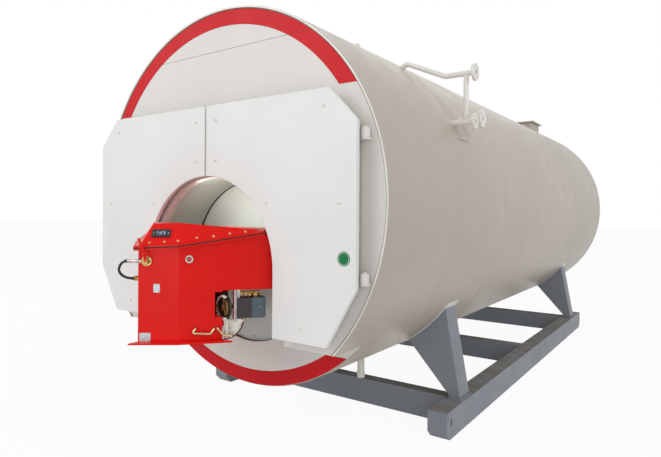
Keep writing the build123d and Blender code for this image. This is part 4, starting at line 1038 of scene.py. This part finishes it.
@dataclass
class Skid:
    """Rails, cross beams and saddles."""

    casing_r: float = DATUM.casing_r
    saddle_fronts: Pair = (1212.0, 4680.0)
    saddle_depth: float = 165.0
    strap_margin: float = 12.0
    strap_t: float = 4.0
    strap_x: Pair = (590.0, 893.0)
    weld_x: Pair = (612.0, 864.0)  # where the saddle's web meets its strap
    pad_x: Pair = (893.0, 984.0)
    pad_z: float = -1254.0
    pad_margin: float = 12.0  # past the saddle's web, ahead and behind
    foot_x: Pair = (905.0, 972.0)
    beam_fronts: Triple = (1232.0, 2948.0, 4700.0)
    beam_w: float = 100.0
    rail_inner_x: float = 869.0
    rail_top: float = -1266.0
    rail_h: float = 174.0
    web_weld: float = 3.5  # each weld's half width, here and below
    foot_weld: float = 4.0
    pad_weld: float = 3.0

    def build(self) -> None:
        """Dress the skid, and add the wear straps and the welds."""
        saddles = [f"saddle_{end}_{side}" for end in ("front", "rear") for side in RIGHT_AND_LEFT]
        dress(SKID_PRIMER, "skid_rail_right", "skid_rail_left", "cross_beams", *saddles)
        self.straps().both_sides().piece("saddle_wear_straps", FITTING_ENAMEL, slot=Slot.CASING)
        self.welds().both_sides().piece("skid_welds", SKID_PRIMER, slot=Slot.SKID)

    def straps(self) -> Shape:
        """Give the curved straps between the right-hand saddles and the jacket."""
        steps = between(*[asin(x / self.casing_r) for x in self.strap_x], 24)
        low, high = self.casing_r - 0.5, self.casing_r + self.strap_t
        outline = [(high * sin(a), -high * cos(a)) for a in steps]
        outline += [(low * sin(a), -low * cos(a)) for a in reversed(steps)]
        made = Shape()
        for front in self.saddle_fronts:
            depth = self.saddle_depth + 2 * self.strap_margin
            place = facing_front(0, front - self.strap_margin + depth, 0)
            made.add(plate(outline, depth, 0.8), place)
        return made

    def welds(self) -> Shape:
        """Give the welds at the right-hand saddles' feet and edges and at the beams' ends."""
        made = Shape()
        radius = self.casing_r + self.strap_t + 1
        top = between(*[asin(x / self.casing_r) for x in self.weld_x], 60)
        for front in self.saddle_fronts:
            web = [Vector((radius * sin(a), front - 1, -radius * cos(a))) for a in top]
            made.add(bead(web, self.web_weld))
            foot = [Vector((x, front - 1, self.pad_z + 1)) for x in self.foot_x]
            made.add(bead(foot, self.foot_weld))
            back = front + self.saddle_depth
            side = [Vector((self.foot_x[1] + 1, y, self.pad_z + 1)) for y in (front, back)]
            made.add(bead(side, self.foot_weld))
            (near, far), low_y, high_y = self.pad_x, front - self.pad_margin, back + self.pad_margin
            corners = ((near, low_y), (far, low_y), (far, high_y), (near, high_y))
            made.add(bead([Vector((x, y, self.rail_top)) for x, y in corners], self.pad_weld, closed=True))
        for front in self.beam_fronts:
            x, low = self.rail_inner_x - 1, self.rail_top - self.rail_h + 4
            for y in (front - 1, front + self.beam_w + 1):
                made.add(bead([Vector((x, y, low)), Vector((x, y, self.rail_top - 2))], self.web_weld))
            edge = [Vector((x, y, self.rail_top)) for y in (front, front + self.beam_w)]
            made.add(bead(edge, self.web_weld))
        return made


@dataclass
class Fittings:
    """Gauge pipes, nozzles, vent, drain and flue."""

    casing_r: float = DATUM.casing_r
    pipe_r: float = 16.85
    gauge_y: float = 1040.0
    gauge_zs: Pair = (506.0, 803.0)
    flange_back: float = 1110.0
    nozzle_y: float = 1215.0
    nozzle_z: float = 548.0
    vent_y: float = 1489.0
    vent_r: float = 24.15
    drain_at: Pair = (330.0, 1037.0)
    flue_y: float = 5545.0
    flue_half: Pair = (350.0, 195.0)
    flue_top: float = 1178.0
    flue_proud: float = 32.0
    flue_thread: float = 10.0
    flange_weld: float = 2.6  # each weld's half width, here and below
    pipe_weld: float = 3.0
    stub_weld: float = 3.2
    flue_weld: float = 4.0

    def build(self) -> None:
        """Dress the fittings, and add their welds and screws."""
        pairs = ("gauge_pipes", "side_nozzle")
        dress(FITTING_ENAMEL, *[f"{name}_{side}" for name in pairs for side in RIGHT_AND_LEFT],
              "vent_stub", "drain_pipe")
        dress(JACKET_ENAMEL, "flue_collar", "flue_lid")
        self.pipe_welds().both_sides().piece("pipe_welds", FITTING_ENAMEL, slot=Slot.CASING)
        self.stub_welds().piece("stub_welds", FITTING_ENAMEL, slot=Slot.CASING)
        self.flue_screws().piece("flue_lid_screws", ZINC_PLATE, slot=Slot.ZINC)

    def pipe_welds(self) -> Shape:
        """Give the welds of the right-hand pipes at their flanges and at the jacket."""
        made = Shape()
        loop = circle(self.pipe_r + 1, 36)
        for y, z, back in ((self.gauge_y, self.gauge_zs[0], self.flange_back),
                           (self.gauge_y, self.gauge_zs[1], self.flange_back),
                           (self.nozzle_y, self.nozzle_z, self.casing_r - 6)):
            place = facing_right(back - 1, y, z)
            made.add(bead([place @ p for p in loop], self.flange_weld, closed=True))
        for y, z in ((self.gauge_y, self.gauge_zs[0]), (self.nozzle_y, self.nozzle_z)):
            foot = []
            for p in loop:
                height = z + p.y
                foot.append(Vector((sqrt(self.casing_r ** 2 - height ** 2), y + p.x, height)))
            made.add(bead(foot, self.pipe_weld, closed=True))
        return made

    def stub_welds(self) -> Shape:
        """Give the welds at the foot of the vent and the drain, and round the flue collar."""
        made = Shape()
        for (x, y), radius, side in (((0.0, self.vent_y), self.vent_r, 1), (self.drain_at, self.vent_r, -1)):
            foot = []
            for p in circle(radius + 1, 40):
                height = sqrt(self.casing_r ** 2 - (x + p.x) ** 2)
                foot.append(Vector((x + p.x, y + p.y, side * height)))
            made.add(bead(foot, self.stub_weld, closed=True))
        half_x, half_y = self.flue_half
        corners = [Vector((x, y, 0)) for x, y in ((half_x, -half_y), (half_x, half_y), (-half_x, half_y),
                                                  (-half_x, -half_y))]
        ring = spaced([*corners, corners[0]], 12.0)[:-1]
        foot = [Vector((p.x, self.flue_y + p.y, sqrt(self.casing_r ** 2 - p.x ** 2))) for p in ring]
        return made.add(bead(foot, self.flue_weld, closed=True))

    def flue_screws(self) -> Shape:
        """Give the hexagon screws round the flue's lid."""
        made = Shape()
        half_x, half_y = [half + self.flue_proud / 2 for half in self.flue_half]
        bolt = hex_bolt(self.flue_thread)
        for i in range(5):
            x = half_x * (i / 2 - 1)
            for side in (-1, 1):
                made.add(bolt, facing_up(x, self.flue_y + side * half_y, self.flue_top))
        for side in (-1, 1):
            for y in (-half_y / 3, half_y / 3):
                made.add(bolt, facing_up(side * half_x, self.flue_y + y, self.flue_top))
        return made


HOUSING_PLAN = ((0.0, -532.0), (157.0, -410.0), (455.0, -58.0), (455.0, 20.0))  # right-hand half, x and y
BOW = Wall(*HOUSING_PLAN[:2])
FLANK = Wall(*HOUSING_PLAN[1:3])


@dataclass(frozen=True)
class LeaningWall:
    """Wall of the lid, which leans inwards from its foot on the housing's joint."""

    start: Triple
    end: Triple
    top: Triple

    def place(self, along: float, z: float, out: float = 0.0) -> Matrix:
        """Give a place on the wall, at a level distance from its start and at a height: z looks out of it."""
        start, end, top = Vector(self.start), Vector(self.end), Vector(self.top)
        run = Vector((end.x - start.x, end.y - start.y, 0.0)).normalized()
        out_of = (end - start).cross(top - start).normalized()
        inwards = Vector((-run.y, run.x, 0.0))
        level = run * along + Vector((0.0, 0.0, z - start.z))
        spot = start + level - inwards * (out_of.dot(level) / out_of.dot(inwards)) + out_of * out
        across = Vector((-out_of.y, out_of.x, 0.0)).normalized()
        return axes(spot, across, out_of.cross(across), out_of)


LID_BOW = LeaningWall((0.0, -532.0, -231.0), (157.0, -410.0, -222.0), (0.0, -443.0, -115.0))
LID_SIDE = LeaningWall((157.0, -410.0, -222.0), (434.7, -82.0, -155.0), (102.0, -364.0, -109.0))


@dataclass
class Burner:
    """Burner housing and lid, with what is screwed to them."""

    joint: tuple[Pair, ...] = ((-532.0, -231.0), (-410.0, -222.0), (-82.0, -155.0))  # y and z of the joint
    joint_proud: float = 22.0
    joint_back: float = -82.0
    gasket_r: float = 3.2
    screw_r: float = 6.0
    bow_screws: tuple[Pair, ...] = ((51, -206), (123, -202), (190, -197))
    flank_screws: tuple[Pair, ...] = ((86, -183), (167, -175), (248, -162), (327, -152))
    display_at: Pair = (102.0, -163.0)
    display_t: float = 6.0
    window: Pair = (44.0, 22.0)
    window_screws: float = 37.0  # each side of the window's middle
    window_screw_r: float = 3.2
    plates: tuple[tuple[float, float, float, float], ...] = (  # along the bow, height, and size
        (90, -430.5, 32, 43), (34.5, -672.5, 55, 45),
    )
    plate_corner: float = 3.0
    plate_t: float = 1.0
    rivet_r: float = 1.8
    rivet_in: float = 4.0
    sight_at: Pair = (49.0, -287.0)
    sight_r: float = 12.0
    sight_out: float = 8.0  # from the wall to the back of the lens
    tap_at: Pair = (43.0, -296.0)
    tap_screws_r: float = 19.0
    tap_screw_r: float = 3.4
    tap_face: float = 12.0
    tap_nuts: tuple[Triple, ...] = ((17.5, 8.0, 14.0), (11.0, 7.0, 39.0))  # radius, height, place out
    lever_out: float = 43.0
    lever_knee: Pair = (2.0, 34.0)  # from the tap
    lever_top: Pair = (13.0, -182.0)
    lever_r: float = 6.0
    fork_foot: Pair = (-22.0, 22.0)  # from the tap
    fork_share: float = 0.72  # where on the lever the fork meets it
    fork_r: float = 4.0

    def build(self) -> None:
        """Dress the burner and add its screws, plates and lever."""
        dress(BURNER_COAT, "burner_housing", "burner_lid", "burner_base_plate")
        dress(BEZEL_NYLON, "display_panel")
        dress(ZINC_PLATE, "sight_glass_ring")
        dress(TURNED_BRASS, "pressure_tap", "hose_end_fitting")
        dress(DRAWN_BRASS, "oil_pipes")
        self.lid_screws().both_sides().piece("lid_screws", YELLOW_ZINC, slot=Slot.ZINC)
        self.joint_gasket().piece("joint_gasket", GASKET_ROPE)
        self.display().piece("display_window", (DISPLAY_GLASS, ZINC_PLATE))
        self.data_plates().piece("data_plates", (ANODISED_SHEET, ZINC_PLATE))
        self.sight_lens().piece("sight_glass_lens", SIGHT_GLASS)
        self.tap().piece("tap_nuts", (TURNED_BRASS, ZINC_PLATE), slot=Slot.BRASS)
        self.lever().piece("tap_lever", BURNER_COAT, slot=Slot.BURNER)

    def lid_screws(self) -> Shape:
        """Give the right-hand screws of the lid."""
        made = Shape()
        for wall, spots in ((LID_BOW, self.bow_screws), (LID_SIDE, self.flank_screws)):
            for along, z in spots:
                made.add(domed_screw(self.screw_r), wall.place(along, z))
        return made

    def joint_z(self, y: float) -> float:
        """Give the joint's height at a distance from the smokebox front."""
        (y0, z0), (y1, z1) = self.joint[:2] if y < self.joint[1][0] else self.joint[1:]
        return z0 + (z1 - z0) * (y - y0) / (y1 - y0)

    def joint_gasket(self) -> Shape:
        """Give the dark gasket that shows in the housing's joint."""
        loop = [*HOUSING_PLAN, *[(-x, y) for x, y in reversed(HOUSING_PLAN[1:])]]
        grown = inset(loop, -self.joint_proud)
        bow, shoulder, flank = grown[0], grown[1], grown[2]
        share = (self.joint_back - shoulder[1]) / (flank[1] - shoulder[1])
        end = (shoulder[0] + share * (flank[0] - shoulder[0]), self.joint_back)
        corners = [(-end[0], end[1]), (-shoulder[0], shoulder[1]), bow, shoulder, end]
        return tube([Vector((x, y, self.joint_z(y))) for x, y in corners], self.gasket_r, 8)

    def display(self) -> Shape:
        """Give the display's window with a screw each side."""
        place = LID_BOW.place(*self.display_at, self.display_t)
        made = Shape().add(plate(rounded_rectangle(*self.window, 2.0), 1.2, 0.4), place)
        for side in (-1, 1):
            spot = place @ facing_up(side * self.window_screws, 0, 0)
            made.add(domed_screw(self.window_screw_r), spot, 1)
        return made

    def data_plates(self) -> Shape:
        """Give the bare data plates with their rivets."""
        made = Shape()
        for along, z, width, height in self.plates:
            place = BOW.place(along, z)
            outline = rounded_rectangle(width, height, self.plate_corner)
            made.add(plate(outline, self.plate_t, 0.3), place)
            half_w, half_h = width / 2 - self.rivet_in, height / 2 - self.rivet_in
            for x, y in ((-half_w, -half_h), (-half_w, half_h), (half_w, -half_h), (half_w, half_h)):
                made.add(domed_screw(self.rivet_r), place @ facing_up(x, y, self.plate_t), 1)
        return made

    def sight_lens(self) -> Shape:
        """Give the lens set back in its ring."""
        radius, out = self.sight_r, self.sight_out
        lens = lathe([(0, out), (radius, out), (radius - 1, out + 1.4), (0, out + 2.4)], 32)
        return Shape().add(lens, FLANK.place(*self.sight_at))

    def tap(self) -> Shape:
        """Give the tap's nuts, its flange's screws and the union on its pipe."""
        place = BOW.place(*self.tap_at)
        flange = place @ facing_up(0, 0, self.tap_face)
        made = bolt_ring(domed_screw(self.tap_screw_r), self.tap_screws_r, 4, flange, 45.0)
        made.finishes = [1] * len(made.faces)
        for radius, height, out in self.tap_nuts:
            made.add(plate(hexagon(radius), height, 1.0), place @ facing_up(0, 0, out))
        return made

    def lever(self) -> Shape:
        """Give the red lever that rises from the tap, forked near its grip."""
        out, (along, z) = self.lever_out, self.tap_at
        root = BOW.point(along, z, out)
        knee = BOW.point(along + self.lever_knee[0], z + self.lever_knee[1], out + 2)
        top = BOW.point(*self.lever_top, out + 4)
        made = tube(spaced([root, knee, top], 12.0), self.lever_r, 10)
        fork = BOW.point(along + self.fork_foot[0], z + self.fork_foot[1], out)
        made.add(tube(spaced([fork, root.lerp(top, self.fork_share)], 10.0), self.fork_r, 10))
        return made


@dataclass
class DamperDrive:
    """Servo motor, cam disc, quadrant and the small fittings in the housing's notch."""

    servo_start: float = 283.0
    servo_l: float = 146.0
    servo_z: Pair = (-590.0, -489.0)
    servo_depth: float = 75.0
    cover_from: float = 78.0
    cover_proud: float = 3.0
    cover_corner: float = 12.0
    cover_screw_r: float = 3.2
    cover_screw_at: Pair = (8.0, 4.0)  # from the cover's middle
    cam_at: Triple = (284.0, -214.0, -536.0)
    cam_turn: float = 15.0
    cam_r: float = 62.5
    cam_t: float = 10.0
    cam_screws: int = 26
    cam_screw_profile: tuple[Pair, ...] = ((0, 0), (6.2, 0), (6.2, 12), (4.4, 15), (0, 15))
    cam_screw_in: float = 5.0  # from the disc's edge
    cam_screws_end: float = 30.0  # the cam's own x past which the servo covers its screws
    cam_band: Pair = (44.0, 46.0)
    cam_arms: tuple[float, ...] = (20.0, 95.0, 150.0, 215.0, 290.0)
    cam_hub_r: float = 11.0
    quadrant_at: Triple = (222.0, -600.0, -30.0)
    quadrant_r: float = 102.0
    rim_turn: Pair = (-8.0, -82.0)  # start and run of the rim, in degrees
    rim_r: float = 4.0
    arm_at: Triple = (14.0, -46.0, 0.5)
    arm_size: Pair = (15.0, 96.0)
    ceiling: float = -446.0
    notch_x: float = 60.0
    notch_front: float = -482.0
    notch_back: float = -248.0
    foot: float = -692.0
    shade_sheet_t: float = 1.0
    shade_sheet_far_x: float = 290.0
    shade_sheet_corner: Pair = (155.0, -407.0)  # behind the edge between the housing's walls
    pocket: tuple[float, float, float, float] = (202.0, 308.0, -578.0, -457.0)  # x and z of its sides
    pocket_back: float = -220.0
    ceiling_nuts: tuple[Pair, ...] = ((306.0, -468.0), (330.0, -470.0), (352.0, -472.0))
    nut_size: Pair = (9.5, 13.0)
    nut_out: float = -26.0
    pipe_run: Pair = (296.0, 405.0)
    pipe_z: float = -462.0
    pipe_out: float = -22.0
    pipe_r: float = 5.0
    cap_at: Triple = (383.0, -487.0, -36.0)
    cap_profile: tuple[Pair, ...] = ((0, 0), (21, 0), (22, 3), (22, 20), (17, 25), (0, 26))
    hanger_at: Triple = (294.0, -468.0, -20.0)
    hanger_size: Pair = (16.0, 44.0)
    lower_nut_at: Triple = (322.0, -590.0, -30.0)
    lower_nut_size: Pair = (8.5, 16.0)

    def build(self) -> None:
        """Dress the drive and add its small pieces."""
        dress(SERVO_SHELL, "servo_motor")
        dress(ZINC_PLATE, "damper_quadrant")
        dress(BLUED_STEEL, "damper_cam_disc")
        dress(DRAWN_STEEL, "servo_bracket")
        self.servo_cover().piece("servo_cover", (SERVO_COVER, ZINC_PLATE), slot=Slot.SERVO)
        self.cam_rim().piece("cam_adjusting_screws", (WHITE_NYLON, ORANGE_LACQUER, TURNED_BRASS))
        self.quadrant_rim().piece("quadrant_rim", (DARK_LACQUER, FITTING_ENAMEL))
        # black sheets in the notch and the pocket: painted shade
        self.painted_shade_sheets().piece("notch_painted_shade", BEZEL_NYLON, slot=Slot.BLACK)
        self.fittings().piece("drive_fittings", (TURNED_BRASS, ZINC_PLATE), slot=Slot.BRASS)

    def painted_shade_sheets(self) -> Shape:
        """Give the black sheets on the notch's side, on its ceiling and at the pocket's back: painted shade
        inside the red housing's notch and pocket.
        """
        side, back, top = self.notch_x + 0.5, self.notch_back - 1, self.ceiling - 0.5
        front, thick = self.notch_front, self.shade_sheet_t
        wall = plate([(front, self.foot), (back, self.foot), (back, top - 2), (front, top - 2)], thick)
        made = Shape().add(wall, facing_right(side, 0, 0))
        under = axes((0, 0, top), (1, 0, 0), (0, -1, 0), (0, 0, -1))
        ceiling = [(side + 2, front), (side + 2, back), (self.shade_sheet_far_x, back), self.shade_sheet_corner]
        made.add(plate([(x, -y) for x, y in ceiling], thick), under)
        left, right, low, high = self.pocket
        deep = plate([(left, low), (right, low), (right, high), (left, high)], thick)
        return made.add(deep, facing_front(0, self.pocket_back - 0.5, 0))

    def servo_cover(self) -> Shape:
        """Give the servo's blue-grey cover, which laps over its far part."""
        low, high = self.servo_z
        width = self.servo_l - self.cover_from
        middle = self.servo_start + self.cover_from + width / 2
        place = FLANK.place(middle, (low + high) / 2, -self.servo_depth + 6)
        proud, depth = self.cover_proud, self.servo_depth - 4
        outline = rounded_rectangle(width + proud, high - low + proud, self.cover_corner)
        made = Shape().add(plate(outline, depth, 3.0), place)
        return made.add(domed_screw(self.cover_screw_r), place @ facing_up(*self.cover_screw_at, depth), 1)

    def cam_place(self) -> Matrix:
        """Give the cam's place: z looks ahead and a little to the left."""
        turn = radians(self.cam_turn)
        return axes(self.cam_at, (cos(turn), -sin(turn), 0), (0, 0, 1), (-sin(turn), -cos(turn), 0))

    def cam_rim(self) -> Shape:
        """Give the adjusting screws round the cam, with the band that they bend."""
        place = self.cam_place()
        head = lathe(self.cam_screw_profile, 10)
        made = Shape()
        for i, point in enumerate(circle(self.cam_r - self.cam_screw_in, self.cam_screws, self.cam_t)):
            if point.x < self.cam_screws_end:
                made.add(head, place @ Matrix.Translation(point), 1 if i % 5 == 3 else 0)
        inner, outer = self.cam_band
        band = hoop([(inner, 0), (outer, 0), (outer, 12), (inner, 12)], 40)
        made.add(band, place @ facing_up(0, 0, self.cam_t), 2)
        arm = plate([(0, -4), (inner - 2, -5.5), (inner - 2, 5.5), (0, 4)], 4.0, 0.8)
        for angle in self.cam_arms:
            turn = place @ Matrix.Rotation(radians(angle), 4, "Z")
            made.add(arm, turn @ facing_up(0, 0, self.cam_t), 2)
        hub = plate(hexagon(self.cam_hub_r), 8.0, 1.0)
        return made.add(hub, place @ facing_up(0, 0, self.cam_t + 4), 2)

    def quadrant_rim(self) -> Shape:
        """Give the dark red rim of the quadrant and the pale arm beside it."""
        place = FLANK.place(*self.quadrant_at)
        arc = circle(self.quadrant_r - 3, 24, 1.0, *self.rim_turn)
        made = Shape().add(tube([place @ p for p in arc], self.rim_r, 10))
        arm = plate(rounded_rectangle(*self.arm_size, 4.0), 4.0, 0.8)
        return made.add(arm, place @ facing_up(*self.arm_at), 1)

    def fittings(self) -> Shape:
        """Give the brass fittings and the pipe along the notch's ceiling, and the one below the servo."""
        made = Shape()
        nut = plate(hexagon(self.nut_size[0]), self.nut_size[1], 1.2)
        for along, z in self.ceiling_nuts:
            made.add(nut, FLANK.place(along, z, self.nut_out))
        run = [FLANK.point(along, self.pipe_z, self.pipe_out) for along in self.pipe_run]
        made.add(tube(spaced(run, 20.0), self.pipe_r, 12))
        cap = lathe(self.cap_profile, 28)
        made.add(cap, FLANK.place(*self.cap_at) @ Matrix.Rotation(radians(-90), 4, "X"))
        hanger = plate(rounded_rectangle(*self.hanger_size, 3.0), 8.0, 1.0)
        made.add(hanger, FLANK.place(*self.hanger_at), 1)
        below = plate(hexagon(self.lower_nut_size[0]), self.lower_nut_size[1], 1.2)
        made.add(below, FLANK.place(*self.lower_nut_at) @ Matrix.Rotation(radians(90), 4, "X"))
        return made


@dataclass
class PressureHose:
    """Short hose from the tap's pipe back into the housing's left bow."""

    route: tuple[Triple, ...] = (  # metres, from the frame's origin
        (-0.0450, -3.2255, 1.1420), (-0.0675, -3.2338, 1.1415), (-0.0860, -3.2425, 1.1210),
        (-0.0940, -3.2445, 1.0930), (-0.0880, -3.2265, 1.0660), (-0.0720, -3.1973, 1.0520),
        (-0.0573, -3.1783, 1.0520),
    )
    length: float = 0.1711
    diameter: float = 0.013
    crimp_r: float = 8.2  # millimetres, as are the next three
    crimp_steps: tuple[float, ...] = (-1.0, 3.0, 13.0, 15.0)
    sleeve_r: float = 8.8
    sleeve: Pair = (2.0, 80.0)

    def build(self) -> None:
        """Make the hose and its crimped ends."""
        curve = bpy.data.curves.new("pressure_hose_line", "CURVE")
        curve.dimensions = "3D"
        spline = curve.splines.new("NURBS")
        spline.points.add(len(self.route) - 1)
        for point, place in zip(spline.points, self.route):
            point.co = (*place, 1.0)
        spline.order_u = 3
        spline.use_endpoint_u = True
        spline.resolution_u = 12
        curve.bevel_depth = self.diameter / 2
        curve.bevel_resolution = 6
        curve.use_fill_caps = True
        curve.materials.append(HOSE_RUBBER.material())
        hose = bpy.data.objects.new("rubber_hose", curve)
        bpy.context.scene.collection.objects.link(hose)
        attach(hose, Body.ROOT.value)
        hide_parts("pressure_hose")
        crimps = self.crimps().piece("hose_crimps", (HOSE_RUBBER, DRAWN_STEEL), slot=Slot.RUBBER)
        LOG.info("rubber_hose: %.0f mm on root", self.length * MM)

    def crimps(self) -> Shape:
        """Give the crimped sleeve at each end and the bright sleeve of the tap's pipe."""
        own = [Vector((x * MM, (y - DATUM.front) * MM, (z - DATUM.axis) * MM)) for x, y, z in self.route]
        made = Shape()
        for end, inner in ((own[0], own[1]), (own[-1], own[-2])):
            ahead = (inner - end).normalized()
            made.add(tube([end + ahead * step for step in self.crimp_steps], self.crimp_r, 20))
        back = (own[0] - own[1]).normalized()
        made.add(tube([own[0] + back * step for step in self.sleeve], self.sleeve_r, 20), finish=1)
        return made


@dataclass
class Studio:
    """Pale floor, soft light and the camera."""

    eye: Triple = (2259.5, -2158.6, -47.3)
    yaw: float = 36.03
    pitch: float = -0.07
    roll: float = 0.384
    lens: float = 29.31
    sensor: float = 36.0
    shift: Pair = (0.0223, -0.0248)
    floor_half: float = 60.0
    floor_white: float = 0.94  # share of plain white that the eye sees in the floor
    ambient: float = 0.68
    lamps: tuple[tuple[str, Triple, float, float], ...] = (  # name, place and side in metres, and watts
        ("key_light", (-5.0, -10.5, 6.5), 7.0, 300.0),
        ("front_light", (4.5, -11.0, 0.9), 3.0, 105.0),
        ("recess_light", (0.0, -2.7, 1.42), 0.3, 1.0),
        ("right_light", (9.5, -3.0, 6.0), 6.0, 150.0),
        ("back_light", (-3.0, 9.0, 7.0), 6.0, 60.0),
    )
    smallest_mirrored: float = 1.0  # side of a lamp that gloss may show

    def build(self) -> None:
        """Make the floor, the lights, the world and the camera."""
        self.camera()
        self.floor()
        self.world()
        for lamp in self.lamps:
            self.lamp(*lamp)
        bpy.context.scene.view_settings.view_transform = "Standard"

    def camera(self) -> None:
        """Set the camera at the photograph's viewing angle."""
        yaw, pitch, roll = radians(self.yaw), radians(self.pitch), radians(self.roll)
        ahead = Vector((-sin(yaw) * cos(pitch), cos(yaw) * cos(pitch), sin(pitch)))
        right = Vector((cos(yaw), sin(yaw), 0.0))
        up = right.cross(ahead)
        side = right * cos(roll) + up * sin(roll)
        top = up * cos(roll) - right * sin(roll)
        data = bpy.data.cameras.new("camera")
        data.lens = self.lens
        data.sensor_width = self.sensor
        data.shift_x, data.shift_y = self.shift
        made = bpy.data.objects.new("camera", data)
        made.matrix_world = axes(DATUM.world(Vector(self.eye)), side, top, -ahead)
        bpy.context.scene.collection.objects.link(made)
        bpy.context.scene.camera = made

    def seen(self, tree: bpy.types.NodeTree) -> bpy.types.NodeSocket:
        """Give 1 on the rays that the eye, gloss and glass see along, and 0 on those that light."""
        path = add_node(tree, "ShaderNodeLightPath")
        shown = path.outputs["Is Camera Ray"]
        for kind in ("Is Glossy Ray", "Is Transmission Ray"):
            both = add_node(tree, "ShaderNodeMath", {0: shown, 1: path.outputs[kind]}, operation="MAXIMUM")
            shown = both.outputs[0]
        return shown

    def floor(self) -> None:
        """Lay the pale floor, which the camera sees near white and with the boiler's shadow."""
        half = self.floor_half
        corners = [(-half, -half, 0), (half, -half, 0), (half, half, 0), (-half, half, 0)]
        mesh = bpy.data.meshes.new("floor")
        mesh.from_pydata(corners, [], [(0, 1, 2, 3)])
        paint = bpy.data.materials.new("pale_floor")
        paint.use_nodes = True
        tree = paint.node_tree
        tree.nodes.clear()
        matt = add_node(tree, "ShaderNodeBsdfDiffuse", {"Color": linear("#E6E6E6")})
        lift = add_node(tree, "ShaderNodeEmission", {"Color": linear("#FFFFFF"), "Strength": 1.0})
        share = add_node(tree, "ShaderNodeMath", {
            0: self.seen(tree), 1: self.floor_white,
        }, operation="MULTIPLY")
        both = add_node(tree, "ShaderNodeMixShader", {
            0: share.outputs[0], 1: matt.outputs[0], 2: lift.outputs[0],
        })
        add_node(tree, "ShaderNodeOutputMaterial", {"Surface": both.outputs[0]})
        mesh.materials.append(paint)
        made = bpy.data.objects.new("floor", mesh)
        bpy.context.scene.collection.objects.link(made)

    def world(self) -> None:
        """Surround the boiler with soft light that eye, gloss and glass see as white."""
        world = bpy.data.worlds.new("studio")
        world.use_nodes = True
        tree = world.node_tree
        tree.nodes.clear()
        soft = add_node(tree, "ShaderNodeBackground", {"Color": linear("#F7F9FF"), "Strength": self.ambient})
        white = add_node(tree, "ShaderNodeBackground", {"Color": linear("#FFFFFF"), "Strength": 1.0})
        both = add_node(tree, "ShaderNodeMixShader", {
            0: self.seen(tree), 1: soft.outputs[0], 2: white.outputs[0],
        })
        add_node(tree, "ShaderNodeOutputWorld", {"Surface": both.outputs[0]})
        bpy.context.scene.world = world

    def lamp(self, name: str, place: Triple, size: float, power: float) -> None:
        """Hang a soft square lamp that points at the boiler's middle.

        Args:
            name: Name of the lamp.
            place: Where it hangs, in metres.
            size: Its side, in metres.
            power: Its power, in watts.
        """
        data = bpy.data.lights.new(name, "AREA")
        data.shape = "SQUARE"
        data.size = size
        data.energy = power
        made = bpy.data.objects.new(name, data)
        made.location = place
        aim = Vector((0.0, 0.0, DATUM.axis)) - Vector(place)
        made.rotation_euler = aim.to_track_quat("-Z", "Y").to_euler()
        made.visible_camera = False
        made.visible_glossy = size > self.smallest_mirrored
        bpy.context.scene.collection.objects.link(made)


def main() -> None:
    """Build the studio, the hose and each sub-assembly in order."""
    logging.basicConfig(level=logging.INFO, format="%(name)s %(message)s")
    for part in (Studio(), PressureHose(), Casing(), SmokeboxFront(), Doors(), TubeField(), Skid(),
                 Fittings(), Burner(), DamperDrive()):
        LOG.info("%s", type(part).__name__)
        part.build()


if __name__ == "__main__":
    main()
